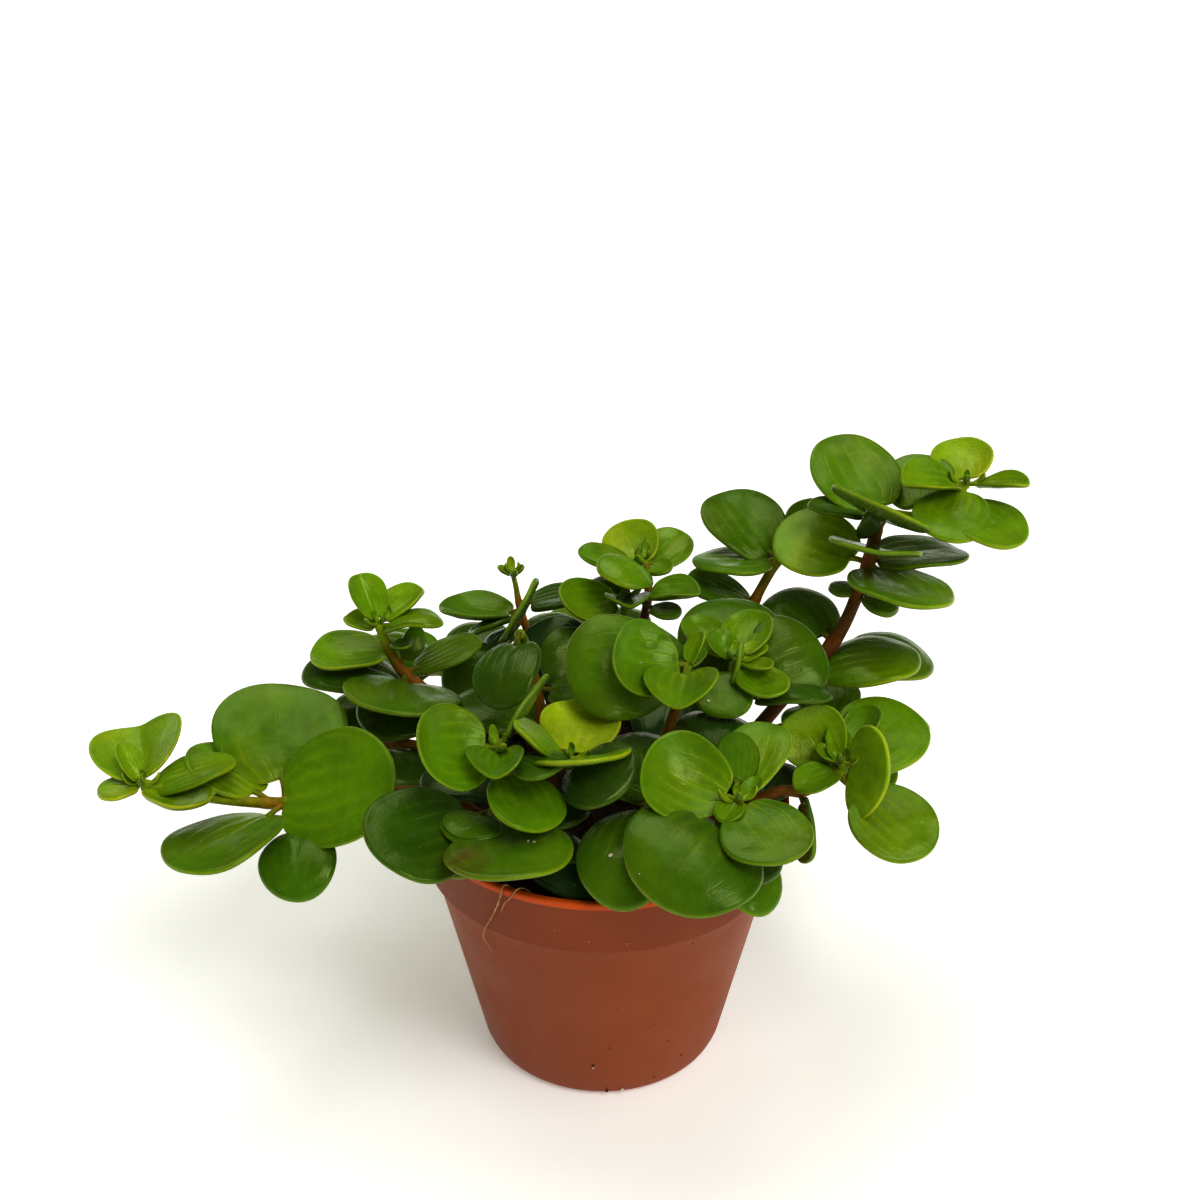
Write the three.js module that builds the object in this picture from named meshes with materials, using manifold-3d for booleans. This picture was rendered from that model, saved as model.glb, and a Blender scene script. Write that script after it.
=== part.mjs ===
// Hope peperomia, a trailing houseplant with fleshy leaves, in a round plastic nursery pot.
// Millimetres, Z up, X to the right, Y away from the viewer, origin at the centre of the pot's underside.

import * as THREE from 'three';
import { mergeVertices } from 'three/addons/utils/BufferGeometryUtils.js';
import Module from 'manifold-3d';

const wasm = await Module();
wasm.setup();

// Pot
const RIM_RADIUS = 60;
const RIM_HEIGHT = 92;
const LIP_THICKNESS = 2.2;
const LIP_HEIGHT = 2.6;
const LIP_STEP = 0.9;
const COLLAR_BOTTOM = 72;
const COLLAR_BOTTOM_RADIUS = 57.6;
const WALL_TOP_RADIUS = 55.5;
const BASE_RADIUS = 40;
const CORNER_SIZE = 4;
const WALL = 1.6;
const POT_SEGMENTS = 40;
const DRAIN_HOLES = 8;
const DRAIN_HOLE_RADIUS = 4;
const DRAIN_CIRCLE_RADIUS = 27;

// Soil
const SOIL_TOP = 85;
const CLEARANCE = 0.3;
const SOCKET_SIDES = 8;
const SOCKET_CLEARANCE = 0.5;

// Stems and leaf stalks
const STEM_SIDES = 5;
const STEM_STEP = 0.5;
const STALK_RADIUS = 1;

// Leaf blades
const LEAF_DETAIL = [
  { upTo: 15, rim: 7, inner: 0 },
  { upTo: 32, rim: 8, inner: 3 },
  { upTo: Infinity, rim: 10, inner: 4 },
];
const MIDDLE_RING = 0.5;
const OUTLINE_WAVE = 0.03;
const SURFACE_WAVE = 0.02;
const BASE_NOTCH = 0.07;
const EGG_SHAPE = 0.1;
const FOLD_SOFTNESS = 0.02;

// How a leaf of each kind is bent, as shares of its size, and how thick its blade is.
// cup: the middle lies lower than the rim; arch: the middle is raised; fold: the sides are raised.
const LEAF_KINDS = {
  young: { cup: 0.11, arch: 0, fold: 0.02, thickness: 1.6 },
  grown: { cup: 0.03, arch: 0.04, fold: 0, thickness: 1.8 },
  old: { cup: -0.05, arch: 0.06, fold: 0, thickness: 2 },
  drooping: { cup: -0.03, arch: 0.14, fold: -0.02, thickness: 1.8 },
  folded: { cup: 0.04, arch: 0.02, fold: 0.26, thickness: 1.5 },
  edgewise: { cup: 0.05, arch: 0.03, fold: 0.04, thickness: 1.8 },
  tip: { cup: 0.14, arch: 0, fold: 0.1, thickness: 1.1 },
};

// Each stem is a path that starts in the soil, and its leaves.
// A leaf is [place along the path counted in path points, kind, heading, rise, roll, stalk, length, width]:
// heading in degrees from +X towards +Y, rise in degrees above level, roll in degrees about its own length.
// Rows that share a name are branches of one plant piece.
const LEAFY_STEMS = [
  {
    name: 'far_left', radius: 2.2, topRadius: 1.6,
    path: [[-36, -14, 60], [-36, -14, 88], [-56, -15, 101], [-78, -15, 99],
      [-99, -15, 97], [-122, -15, 99], [-143, -15, 104]],
    leaves: [
      [4, 'grown', 103, 28, 0, 7, 39, 43],
      [4.2, 'grown', -9, 21, 40, 1, 42, 39],
      [4, 'grown', -130, 0, 12, 4, 39, 36],
      [3.8, 'old', -84, -26, 5, 8, 25, 24],
      [4.2, 'grown', 146, 19, 10, 5, 29, 24],
      [6, 'folded', 104, 11, -13, 1, 27, 30],
      [5.9, 'grown', 14, 14, 4, 0, 27, 17],
      [5.9, 'young', -33, 8, -12, 0, 25, 19],
      [6, 'folded', 140, 50, 0, 1, 14, 8],
      [6, 'grown', -176, -2, 6, 0, 14, 15],
    ],
  },
  {
    name: 'upper_left', radius: 2.2, topRadius: 1.4,
    path: [[-34, 24, 60], [-34, 24, 88], [-50, 32, 103], [-67, 40, 113], [-73, 42, 124], [-75, 42, 131]],
    leaves: [
      [3.7, 'young', -176, 2, 0, 0, 27, 27],
      [3, 'grown', -85, 10, -10, 3, 33, 39],
      [3, 'grown', 30, 15, -5, 3, 26, 20],
      [2.7, 'old', 177, 9, 0, 3, 36, 28],
      [3.2, 'tip', 62, 30, 70, 3, 14, 10],
      [5, 'folded', 125, 45, 0, 1, 18, 13],
      [5, 'folded', 34, 26, 0, 1, 18, 16],
      [4.8, 'drooping', -15, 14, 0, 1, 22, 13],
      [4.8, 'tip', 160, 12, -6, 1, 12, 11],
      [4, 'tip', -30, 10, 0, 2, 9, 8],
      [2, 'old', -165, 6, -10, 3, 30, 26],
    ],
  },
  {
    name: 'back_left', radius: 2.0, topRadius: 0.7,
    path: [[-14, 34, 60], [-14, 34, 88], [-22, 55, 106], [-29, 75, 119], [-31, 80, 127], [-32, 81, 131]],
    leaves: [
      [3, 'young', 165, 1, 5, 2, 28, 24],
      [3, 'edgewise', -145, -5, 24, 3, 18, 16],
      [3, 'edgewise', -90, 27, 60, 2, 24, 26],
      [3.2, 'grown', 5, 12, -5, 2, 26, 22],
      [2.8, 'old', -140, -20, 16, 3, 16, 14],
      [5, 'tip', 170, 30, 0, 0, 6, 4],
      [5, 'tip', 10, 40, 0, 0, 5, 4],
      [2, 'old', -175, -6, -35, 5, 30, 28],
    ],
  },
  {
    name: 'centre_left', radius: 2.2, topRadius: 1.6,
    path: [[-16, 4, 60], [-16, 4, 88], [-20, 16, 112], [-25, 27, 130], [-27, 25, 136]],
    leaves: [
      [4, 'old', -103, -24, 14, 1, 28, 23],
      [1.8, 'old', 150, 5, 0, 4, 30, 28],
      [2.3, 'old', -10, 5, 0, 3, 24, 24],
    ],
  },
  {
    name: 'back_centre', radius: 2.2, topRadius: 1.4,
    path: [[4, 24, 60], [4, 24, 88], [6, 42, 112], [8, 60, 132]],
    leaves: [
      [3, 'old', 135, 0, -6, 2, 17, 15],
      [3, 'young', -150, 10, -24, 3, 22, 21],
      [3, 'folded', -85, 15, 0, 2, 14, 16],
      [3, 'folded', -25, 15, 5, 8, 20, 16],
      [3, 'grown', -35, 0, 0, 10, 12, 11],
      [2, 'old', 165, 7, -44, 7, 31, 30],
      [2.1, 'old', -168, 9, -44, 3, 25, 27],
    ],
  },
  {
    name: 'back_centre', radius: 2.0, topRadius: 1.2,
    path: [[6, 42, 112], [13, 54, 122], [16, 64, 131], [15, 70, 139], [14, 71, 141]],
    leaves: [
      [3, 'young', 115, 22, -20, 1, 22, 20],
      [3, 'young', 50, 15, 15, 1, 22, 18],
      [3, 'drooping', -120, 12, -20, 2, 23, 20],
      [2.8, 'grown', 162, 14, -5, 4, 21, 14],
      [3, 'young', -35, 15, 15, 1, 10, 9],
    ],
  },
  {
    name: 'back_right', radius: 2.2, topRadius: 1.5,
    path: [[32, 34, 60], [32, 34, 88], [43, 45, 112], [51, 54, 131], [60, 60, 146], [66, 63, 150]],
    leaves: [
      [4, 'grown', 125, 25, -8, 2, 34, 29],
      [4, 'grown', 172, -2, 5, 0, 29, 26],
      [3.1, 'grown', 158, 16, 0, 1, 24, 20],
      [5, 'young', 60, 20, 0, 2, 24, 20],
    ],
  },
  {
    name: 'tall_right', radius: 2.9, topRadius: 1.5,
    path: [[40, 14, 60], [40, 14, 88], [58, 24, 110], [78, 35, 130],
      [88, 45, 152], [92, 48, 167], [105, 50, 167], [120, 55, 176]],
    leaves: [
      [5, 'grown', 111, 26, -8, 3, 36, 30],
      [5, 'edgewise', -105, 33, -18, 1, 24, 34],
      [5, 'grown', 158, 6, 0, 5, 20, 13],
      [4, 'grown', 150, 10, -25, 4, 30, 29],
      [4.3, 'edgewise', -97, 22, -7, 2, 26, 30],
      [4, 'grown', -66, 2, -8, 1, 36, 34],
      [4.1, 'grown', 15, 0, -4, 0, 34, 29],
      [4.6, 'edgewise', -130, 40, 75, 1, 12, 11],
      [3.6, 'old', 165, 4, 0, 1, 9, 10],
      [3.6, 'old', -35, -15, 0, 2, 13, 13],
      [7, 'young', 88, 20, -12, 2, 22, 21],
      [7, 'folded', -35, 15, 10, 3, 19, 9],
      [7, 'grown', -115, -15, -5, 2, 28, 25],
      [6.7, 'grown', -61, -9, 5, 4, 28, 25],
      [7, 'folded', -163, 9, -14, 2, 22, 17],
      [6, 'grown', 86, 26, -14, 3, 25, 24],
      [2.9, 'old', 124, 12, -6, 3, 28, 28],
      [2.5, 'old', -5, 11, 5, 0, 37, 28],
      [2.6, 'old', 13, -2, 4, 10, 31, 30],
    ],
  },
  {
    name: 'centre', radius: 2.2, topRadius: 1.4,
    path: [[14, -2, 60], [14, -2, 88], [20, -1, 112], [25, 0, 131], [26, 0, 138]],
    leaves: [
      [3.2, 'old', 178, 11, -45, 1, 37, 34],
      [4, 'young', -160, 20, -45, 1, 25, 25],
      [4, 'folded', -100, -10, 5, 2, 18, 23],
      [3.8, 'tip', 70, 15, 0, 1, 11, 9],
      [3.9, 'grown', 112, 12, 30, 2, 19, 12],
      [4, 'folded', 48, 52, 0, 0, 12, 6],
      [1.6, 'old', 80, 14, 0, 7, 32, 26],
    ],
  },
  {
    name: 'centre_right', radius: 2.2, topRadius: 1.5,
    path: [[30, 6, 60], [30, 6, 88], [36, 8, 112], [41, 10, 129], [42, 10, 134]],
    leaves: [
      [2.6, 'old', 81, 23, 0, 5, 35, 36],
      [2.9, 'old', 20, 12, 32, 6, 27, 30],
      [4, 'young', 124, 15, -2, 3, 22, 15],
      [4, 'young', 70, 20, -4, 3, 21, 17],
      [4, 'tip', 130, 35, 0, 1, 12, 11],
      [4, 'edgewise', -95, 25, 80, 0, 10, 14],
      [4, 'tip', 30, 18, 0, 1, 11, 9],
      [4, 'tip', -30, 10, 0, 1, 12, 8],
      [3.9, 'young', -48, -5, 5, 2, 19, 16],
      [3.8, 'grown', -110, -25, 0, 2, 19, 18],
      [2.5, 'old', -10, 8, -4, 8, 26, 15],
      [2.4, 'old', -101, -5, 0, 4, 28, 27],
    ],
  },
  {
    name: 'right', radius: 2.2, topRadius: 1.5,
    path: [[44, -10, 60], [44, -10, 88], [54, -12, 99], [64, -12, 100], [74, -10, 105], [75, -10, 109]],
    leaves: [
      [4, 'young', 135, 38, -42, 2, 22, 22],
      [5, 'edgewise', -56, 9, 74, 1, 18, 30],
      [5, 'young', 60, 30, -18, 5, 18, 14],
      [5, 'tip', 95, 30, 0, 1, 12, 9],
      [5, 'tip', 155, 25, 0, 1, 9, 7],
      [4.2, 'folded', -150, -3, -14, 1, 17, 12],
      [4, 'grown', -46, -19, 16, 8, 29, 27],
      [4, 'grown', 40, 20, 14, 4, 31, 30],
      [2.8, 'edgewise', -90, -33, 75, 2, 22, 15],
      [1.6, 'old', 70, 4, 0, 1, 22, 20],
    ],
  },
  {
    name: 'front_right', radius: 2.2, topRadius: 1.5,
    path: [[24, -28, 60], [24, -28, 88], [32, -36, 103], [38, -43, 113], [39, -45, 118]],
    leaves: [
      [4, 'young', 165, 20, -32, 2, 28, 28],
      [4, 'grown', -63, -4, 10, 1, 28, 26],
      [4, 'grown', 85, 20, 20, 6, 20, 14],
      [3, 'grown', 66, 26, -10, 7, 27, 21],
      [3, 'drooping', -125, -12, -15, 4, 36, 42],
      [4, 'folded', -120, -10, 0, 0, 10, 9],
      [4, 'tip', 45, 20, 0, 1, 10, 6],
      [2, 'old', -51, -28, 0, 4, 27, 22],
      [2.4, 'old', -62, -15, 0, 4, 22, 20],
    ],
  },
  {
    name: 'front', radius: 2.0, topRadius: 1.6,
    path: [[8, -22, 60], [8, -22, 88], [12, -28, 100], [14, -33, 111]],
    leaves: [
      [3, 'drooping', -107, -20, 10, 2, 37, 31],
      [3, 'old', 100, 9, 0, 2, 30, 24],
      [3, 'grown', 150, 12, 0, 0, 12, 12],
    ],
  },
  {
    name: 'front_left', radius: 2.2, topRadius: 1.5,
    path: [[-22, -18, 60], [-22, -18, 88], [-26, -24, 107], [-31, -29, 122], [-31, -30, 127]],
    leaves: [
      [4, 'young', -145, 20, -45, 2, 26, 27],
      [3, 'grown', -60, -15, -10, 5, 25, 24],
      [4, 'folded', -90, 4, 0, 1, 17, 17],
      [4, 'edgewise', 60, 25, -58, 1, 27, 18],
      [3.5, 'grown', -38, 8, 0, 8, 16, 17],
      [2, 'old', 170, 8, 0, 3, 27, 22],
    ],
  },
  {
    name: 'front_left', radius: 2.2, topRadius: 1.5,
    path: [[-4, -12, 60], [-4, -12, 88], [-8, -18, 104], [-10, -24, 117], [-10, -25, 120]],
    leaves: [
      [4, 'young', 76, 16, 4, 2, 23, 25],
      [4, 'edgewise', -157, 44, -8, 2, 21, 17],
      [4, 'edgewise', -70, 30, -2, 1, 24, 30],
      [3.8, 'old', -52, 6, 26, 1, 25, 25],
      [2, 'old', -112, 6, 0, 3, 20, 20],
    ],
  },
  {
    name: 'low_front_left', radius: 2.2, topRadius: 1.8,
    path: [[-28, -32, 60], [-28, -32, 88], [-32, -34, 98], [-34, -35, 107]],
    leaves: [
      [3, 'grown', -147, 4, -26, 5, 34, 33],
      [3, 'grown', -72, 5, 0, 4, 34, 37],
      [3, 'old', -118, 8, 0, 0, 18, 20],
      [2, 'old', -130, 0, 0, 4, 20, 18],
      [1.3, 'old', -32, -3, 0, 6, 30, 18],
      [1.6, 'old', -12, 2, 0, 5, 22, 16],
    ],
  },
  {
    name: 'left_behind', radius: 2.0, topRadius: 1.5,
    path: [[-44, 10, 60], [-44, 10, 88], [-62, 18, 98], [-80, 26, 90], [-94, 32, 82]],
    leaves: [
      [4, 'grown', 155, 0, 0, 5, 28, 26],
      [4, 'grown', 50, -5, 0, 5, 28, 26],
      [4, 'grown', -85, -10, 0, 5, 26, 24],
      [3, 'old', 95, 18, 0, 5, 26, 24],
      [2.8, 'old', -110, 5, 0, 5, 26, 24],
      [2.3, 'old', -85, -3, -8, 1, 26, 28],
    ],
  },
  {
    name: 'behind_left', radius: 2.0, topRadius: 1.5,
    path: [[-25, 38, 60], [-25, 38, 88], [-42, 60, 100], [-56, 78, 92], [-64, 90, 86]],
    leaves: [
      [4, 'grown', 125, 5, 0, 5, 29, 26],
      [4, 'grown', 15, 0, 0, 5, 28, 26],
      [4, 'grown', -130, -5, 0, 5, 28, 24],
      [3, 'old', 165, 18, 0, 5, 28, 25],
      [3, 'old', 60, 16, 0, 5, 26, 24],
    ],
  },
  {
    name: 'behind_middle', radius: 2.0, topRadius: 1.5,
    path: [[-2, 44, 60], [-2, 44, 88], [-3, 64, 101], [-5, 84, 96], [-6, 98, 92]],
    leaves: [
      [4, 'grown', 95, 5, 0, 5, 28, 26],
      [4, 'grown', -20, 0, 0, 5, 27, 25],
      [4, 'grown', -150, 0, 0, 5, 26, 24],
      [3, 'old', 50, 16, 0, 5, 26, 24],
      [3, 'old', 140, 16, 0, 5, 24, 23],
    ],
  },
  {
    name: 'behind_right', radius: 2.0, topRadius: 1.5,
    path: [[22, 40, 60], [22, 40, 88], [36, 62, 101], [48, 78, 95], [56, 90, 90]],
    leaves: [
      [4, 'grown', 65, 5, 0, 5, 29, 26],
      [4, 'grown', -50, 0, 0, 5, 26, 24],
      [4, 'grown', 170, 0, 0, 5, 27, 24],
      [3, 'old', 110, 16, 0, 5, 26, 24],
      [3, 'old', -10, 14, 0, 5, 24, 23],
    ],
  },
  {
    name: 'right_behind', radius: 2.0, topRadius: 1.5,
    path: [[41, 26, 60], [41, 26, 88], [62, 30, 98], [76, 37, 92], [86, 42, 86]],
    leaves: [
      [4, 'grown', 25, 5, 0, 4, 26, 26],
      [4, 'grown', -80, -5, 0, 5, 24, 22],
      [4, 'grown', 130, 0, 0, 5, 24, 22],
      [3, 'old', 80, 16, 0, 5, 24, 23],
      [2.6, 'old', -60, 5, 0, 5, 22, 20],
    ],
  },
];

const COLOURS = {
  pot: 0xa5532c,
  soil: 0x2b2118,
  leaves: 0x557f1d,
};

function degrees(angle) {
  return angle * Math.PI / 180;
}

// A closed mesh from corner positions and triangles, as a solid that can be joined or cut.
function solid(positions, triangles) {
  const mesh = new wasm.Mesh({
    numProp: 3,
    vertProperties: new Float32Array(positions),
    triVerts: new Uint32Array(triangles),
  });
  return new wasm.Manifold(mesh);
}

function solidFromGeometry(geometry) {
  const plain = geometry.clone();
  plain.deleteAttribute('normal');
  plain.deleteAttribute("uv");
  const merged = mergeVertices(plain, 1e-4);
  return solid(merged.attributes.position.array, merged.index.array);
}

function geometryFromSolid(shape) {
  const mesh = shape.getMesh();
  const geometry = new THREE.BufferGeometry();
  const positions = new Float32Array(mesh.numVert * 3);
  for (let i = 0; i < mesh.numVert; i += 1) {
    for (let axis = 0; axis < 3; axis += 1) {
      positions[i * 3 + axis] = mesh.vertProperties[i * mesh.numProp + axis];
    }
  }
  geometry.setAttribute('position', new THREE.BufferAttribute(positions, 3));
  geometry.setIndex(new THREE.BufferAttribute(new Uint32Array(mesh.triVerts), 1));
  geometry.computeVertexNormals();
  return geometry;
}

// A profile of [radius, height] points turned about the Z axis.
function turned(profile) {
  const points = profile.map(([radius, height]) => new THREE.Vector2(radius, height));
  const geometry = new THREE.LatheGeometry(points, POT_SEGMENTS);
  geometry.rotateX(Math.PI / 2);
  return solidFromGeometry(geometry);
}

function uprightCylinder(radius, sides, x, y, bottom, top) {
  const geometry = new THREE.CylinderGeometry(radius, radius, top - bottom, sides);
  geometry.rotateX(Math.PI / 2);
  geometry.translate(x, y, (top + bottom) / 2);
  return solidFromGeometry(geometry);
}

// The pot: flat base with drainage holes, tapered wall, wider collar and a thin lip.
function makePot() {
  const lipBottom = RIM_HEIGHT - LIP_HEIGHT;
  const collarInside = COLLAR_BOTTOM_RADIUS - WALL;
  const profile = [
    [0, 0],
    [BASE_RADIUS - CORNER_SIZE, 0],
    [BASE_RADIUS - CORNER_SIZE * 0.4, CORNER_SIZE * 0.3],
    [BASE_RADIUS + CORNER_SIZE * 0.2, CORNER_SIZE],
    [WALL_TOP_RADIUS, COLLAR_BOTTOM],
    [COLLAR_BOTTOM_RADIUS, COLLAR_BOTTOM + 0.8],
    [RIM_RADIUS - LIP_STEP, lipBottom],
    [RIM_RADIUS, lipBottom + 0.6],
    [RIM_RADIUS, RIM_HEIGHT - 0.6],
    [RIM_RADIUS - 0.7, RIM_HEIGHT],
    [RIM_RADIUS - LIP_THICKNESS, RIM_HEIGHT],
    [RIM_RADIUS - LIP_STEP - WALL, lipBottom],
    [collarInside, COLLAR_BOTTOM + 1.8],
    [WALL_TOP_RADIUS - WALL, COLLAR_BOTTOM - 1],
    [BASE_RADIUS + CORNER_SIZE * 0.2 - WALL, CORNER_SIZE],
    [BASE_RADIUS - CORNER_SIZE, WALL],
    [0, WALL],
  ];
  let pot = turned(profile);
  for (let i = 0; i < DRAIN_HOLES; i += 1) {
    const angle = 2 * Math.PI * i / DRAIN_HOLES;
    const x = DRAIN_CIRCLE_RADIUS * Math.cos(angle);
    const y = DRAIN_CIRCLE_RADIUS * Math.sin(angle);
    pot = pot.subtract(uprightCylinder(DRAIN_HOLE_RADIUS, SOCKET_SIDES, x, y, -1, WALL + 1));
  }
  return pot;
}

// The soil: fills the pot to below the rim, with a plain socket for every stem.
function makeSoil() {
  const inset = WALL + CLEARANCE;
  const collarInside = COLLAR_BOTTOM_RADIUS - inset;
  const topShare = (SOIL_TOP - COLLAR_BOTTOM - 1.8) / (RIM_HEIGHT - LIP_HEIGHT - COLLAR_BOTTOM - 1.8);
  const topRadius = collarInside + (RIM_RADIUS - LIP_STEP - COLLAR_BOTTOM_RADIUS) * topShare;
  const profile = [
    [0, inset],
    [BASE_RADIUS - CORNER_SIZE - CLEARANCE, inset],
    [BASE_RADIUS + CORNER_SIZE * 0.2 - inset, CORNER_SIZE + CLEARANCE],
    [WALL_TOP_RADIUS - inset, COLLAR_BOTTOM - 1],
    [collarInside, COLLAR_BOTTOM + 1.8 + CLEARANCE],
    [topRadius, SOIL_TOP],
    [0, SOIL_TOP],
  ];
  let soil = turned(profile);
  for (const stem of LEAFY_STEMS) {
    const [x, y, bottom] = stem.path[0];
    if (bottom < SOIL_TOP) {
      const radius = stem.radius + SOCKET_CLEARANCE;
      const socket = uprightCylinder(radius, SOCKET_SIDES, x, y, bottom - CLEARANCE, SOIL_TOP + 1);
      soil = soil.subtract(socket);
    }
  }
  return soil;
}

// A point on a stem; straight between its first two points, then a smooth curve through the rest.
function stemPoint(path, place) {
  const segment = Math.min(Math.floor(place), path.length - 2);
  const t = place - segment;
  const from = new THREE.Vector3(...path[segment]);
  const to = new THREE.Vector3(...path[segment + 1]);
  if (segment === 0 && path[0][2] < SOIL_TOP) {
    return from.lerp(to, t);
  }
  const before = segment > 0
    ? new THREE.Vector3(...path[segment - 1])
    : from.clone().multiplyScalar(2).sub(to);
  const after = segment + 2 < path.length
    ? new THREE.Vector3(...path[segment + 2])
    : to.clone().multiplyScalar(2).sub(from);
  const point = new THREE.Vector3();
  for (const axis of ['x', 'y', 'z']) {
    const linear = to[axis] - before[axis];
    const square = 2 * before[axis] - 5 * from[axis] + 4 * to[axis] - after[axis];
    const cube = 3 * from[axis] - before[axis] - 3 * to[axis] + after[axis];
    point[axis] = 0.5 * (2 * from[axis] + linear * t + square * t * t + cube * t * t * t);
  }
  return point;
}

// A round bar through the given points that may taper to its end.
function bar(points, radius, endRadius, sides) {
  const positions = [];
  const triangles = [];
  const last = points.length - 1;
  let across = new THREE.Vector3(0, 1, 0);
  points.forEach((point, i) => {
    const ahead = points[Math.min(i + 1, last)];
    const behind = points[Math.max(i - 1, 0)];
    const forward = ahead.clone().sub(behind).normalize();
    if (i === 0 && Math.abs(forward.y) > 0.9) {
      across = new THREE.Vector3(1, 0, 0);
    }
    across = across.clone().addScaledVector(forward, -across.dot(forward)).normalize();
    const other = forward.clone().cross(across);
    const here = radius + (endRadius - radius) * i / last;
    for (let k = 0; k < sides; k += 1) {
      const angle = 2 * Math.PI * k / sides;
      const corner = point.clone()
        .addScaledVector(across, here * Math.cos(angle))
        .addScaledVector(other, here * Math.sin(angle));
      positions.push(corner.x, corner.y, corner.z);
    }
  });
  for (let i = 0; i < last; i += 1) {
    for (let k = 0; k < sides; k += 1) {
      const a = i * sides + k;
      const b = i * sides + (k + 1) % sides;
      triangles.push(a, b, b + sides, a, b + sides, a + sides);
    }
  }
  for (let k = 1; k < sides - 1; k += 1) {
    const end = last * sides;
    triangles.push(0, k + 1, k);
    triangles.push(end, end + k, end + k + 1);
  }
  return solid(positions, triangles);
}

// The directions of a leaf: along its midrib, to its left and out of its upper face.
function leafDirections(heading, rise, roll) {
  const h = degrees(heading);
  const r = degrees(rise);
  const q = degrees(roll);
  const along = new THREE.Vector3(Math.cos(r) * Math.cos(h), Math.cos(r) * Math.sin(h), Math.sin(r));
  const level = new THREE.Vector3(-Math.sin(h), Math.cos(h), 0);
  const lift = along.clone().cross(level);
  const left = level.multiplyScalar(Math.cos(q)).addScaledVector(lift, Math.sin(q));
  return { along, left, upward: along.clone().cross(left) };
}

// A point of the upper face in the leaf's own directions: ring is 0 in the middle and 1 at the rim.
function bladePoint(kind, length, width, number, ring, angle) {
  const { cup, arch, fold } = LEAF_KINDS[kind];
  const swell = 1 + OUTLINE_WAVE * Math.sin(3 * angle + 2.4 * number);
  const notch = BASE_NOTCH * length * Math.max(0, -Math.cos(angle)) ** 16;
  const rimX = length / 2 * (1 + swell * Math.cos(angle)) + notch;
  const rimY = width / 2 * swell * Math.sin(angle) * (1 + EGG_SHAPE * Math.cos(angle));
  const x = length / 2 + ring * (rimX - length / 2);
  const y = ring * rimY;
  const share = x / length;
  const side = 2 * y / width;
  const folded = Math.sqrt(side * side + FOLD_SOFTNESS) - Math.sqrt(FOLD_SOFTNESS);
  const wave = SURFACE_WAVE * length * ring * ring * Math.sin(2 * angle + 1.7 * number);
  const z = -cup * length * (1 - ring * ring) + arch * length * 4 * share * (1 - share)
    + fold * width * folded + wave;
  return [x, y, z];
}

// Triangles between two rings of points about the same middle, walking both by angle.
function ringTriangles(outerAngles, innerAngles, outerStart, innerStart) {
  const triangles = [];
  const outer = outerAngles.length;
  const inner = innerAngles.length;
  const turn = 2 * Math.PI;
  let i = 0;
  let j = 0;
  while (i < outer || j < inner) {
    const nextOuter = i + 1 < outer ? outerAngles[i + 1] : outerAngles[(i + 1) % outer] + turn;
    const nextInner = j + 1 < inner ? innerAngles[j + 1] : innerAngles[(j + 1) % inner] + turn;
    const a = outerStart + i % outer;
    const b = innerStart + j % inner;
    if (j >= inner || (i < outer && nextOuter <= nextInner)) {
      triangles.push([a, outerStart + (i + 1) % outer, b]);
      i += 1;
    } else {
      triangles.push([a, innerStart + (j + 1) % inner, b]);
      j += 1;
    }
  }
  return triangles;
}

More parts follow.
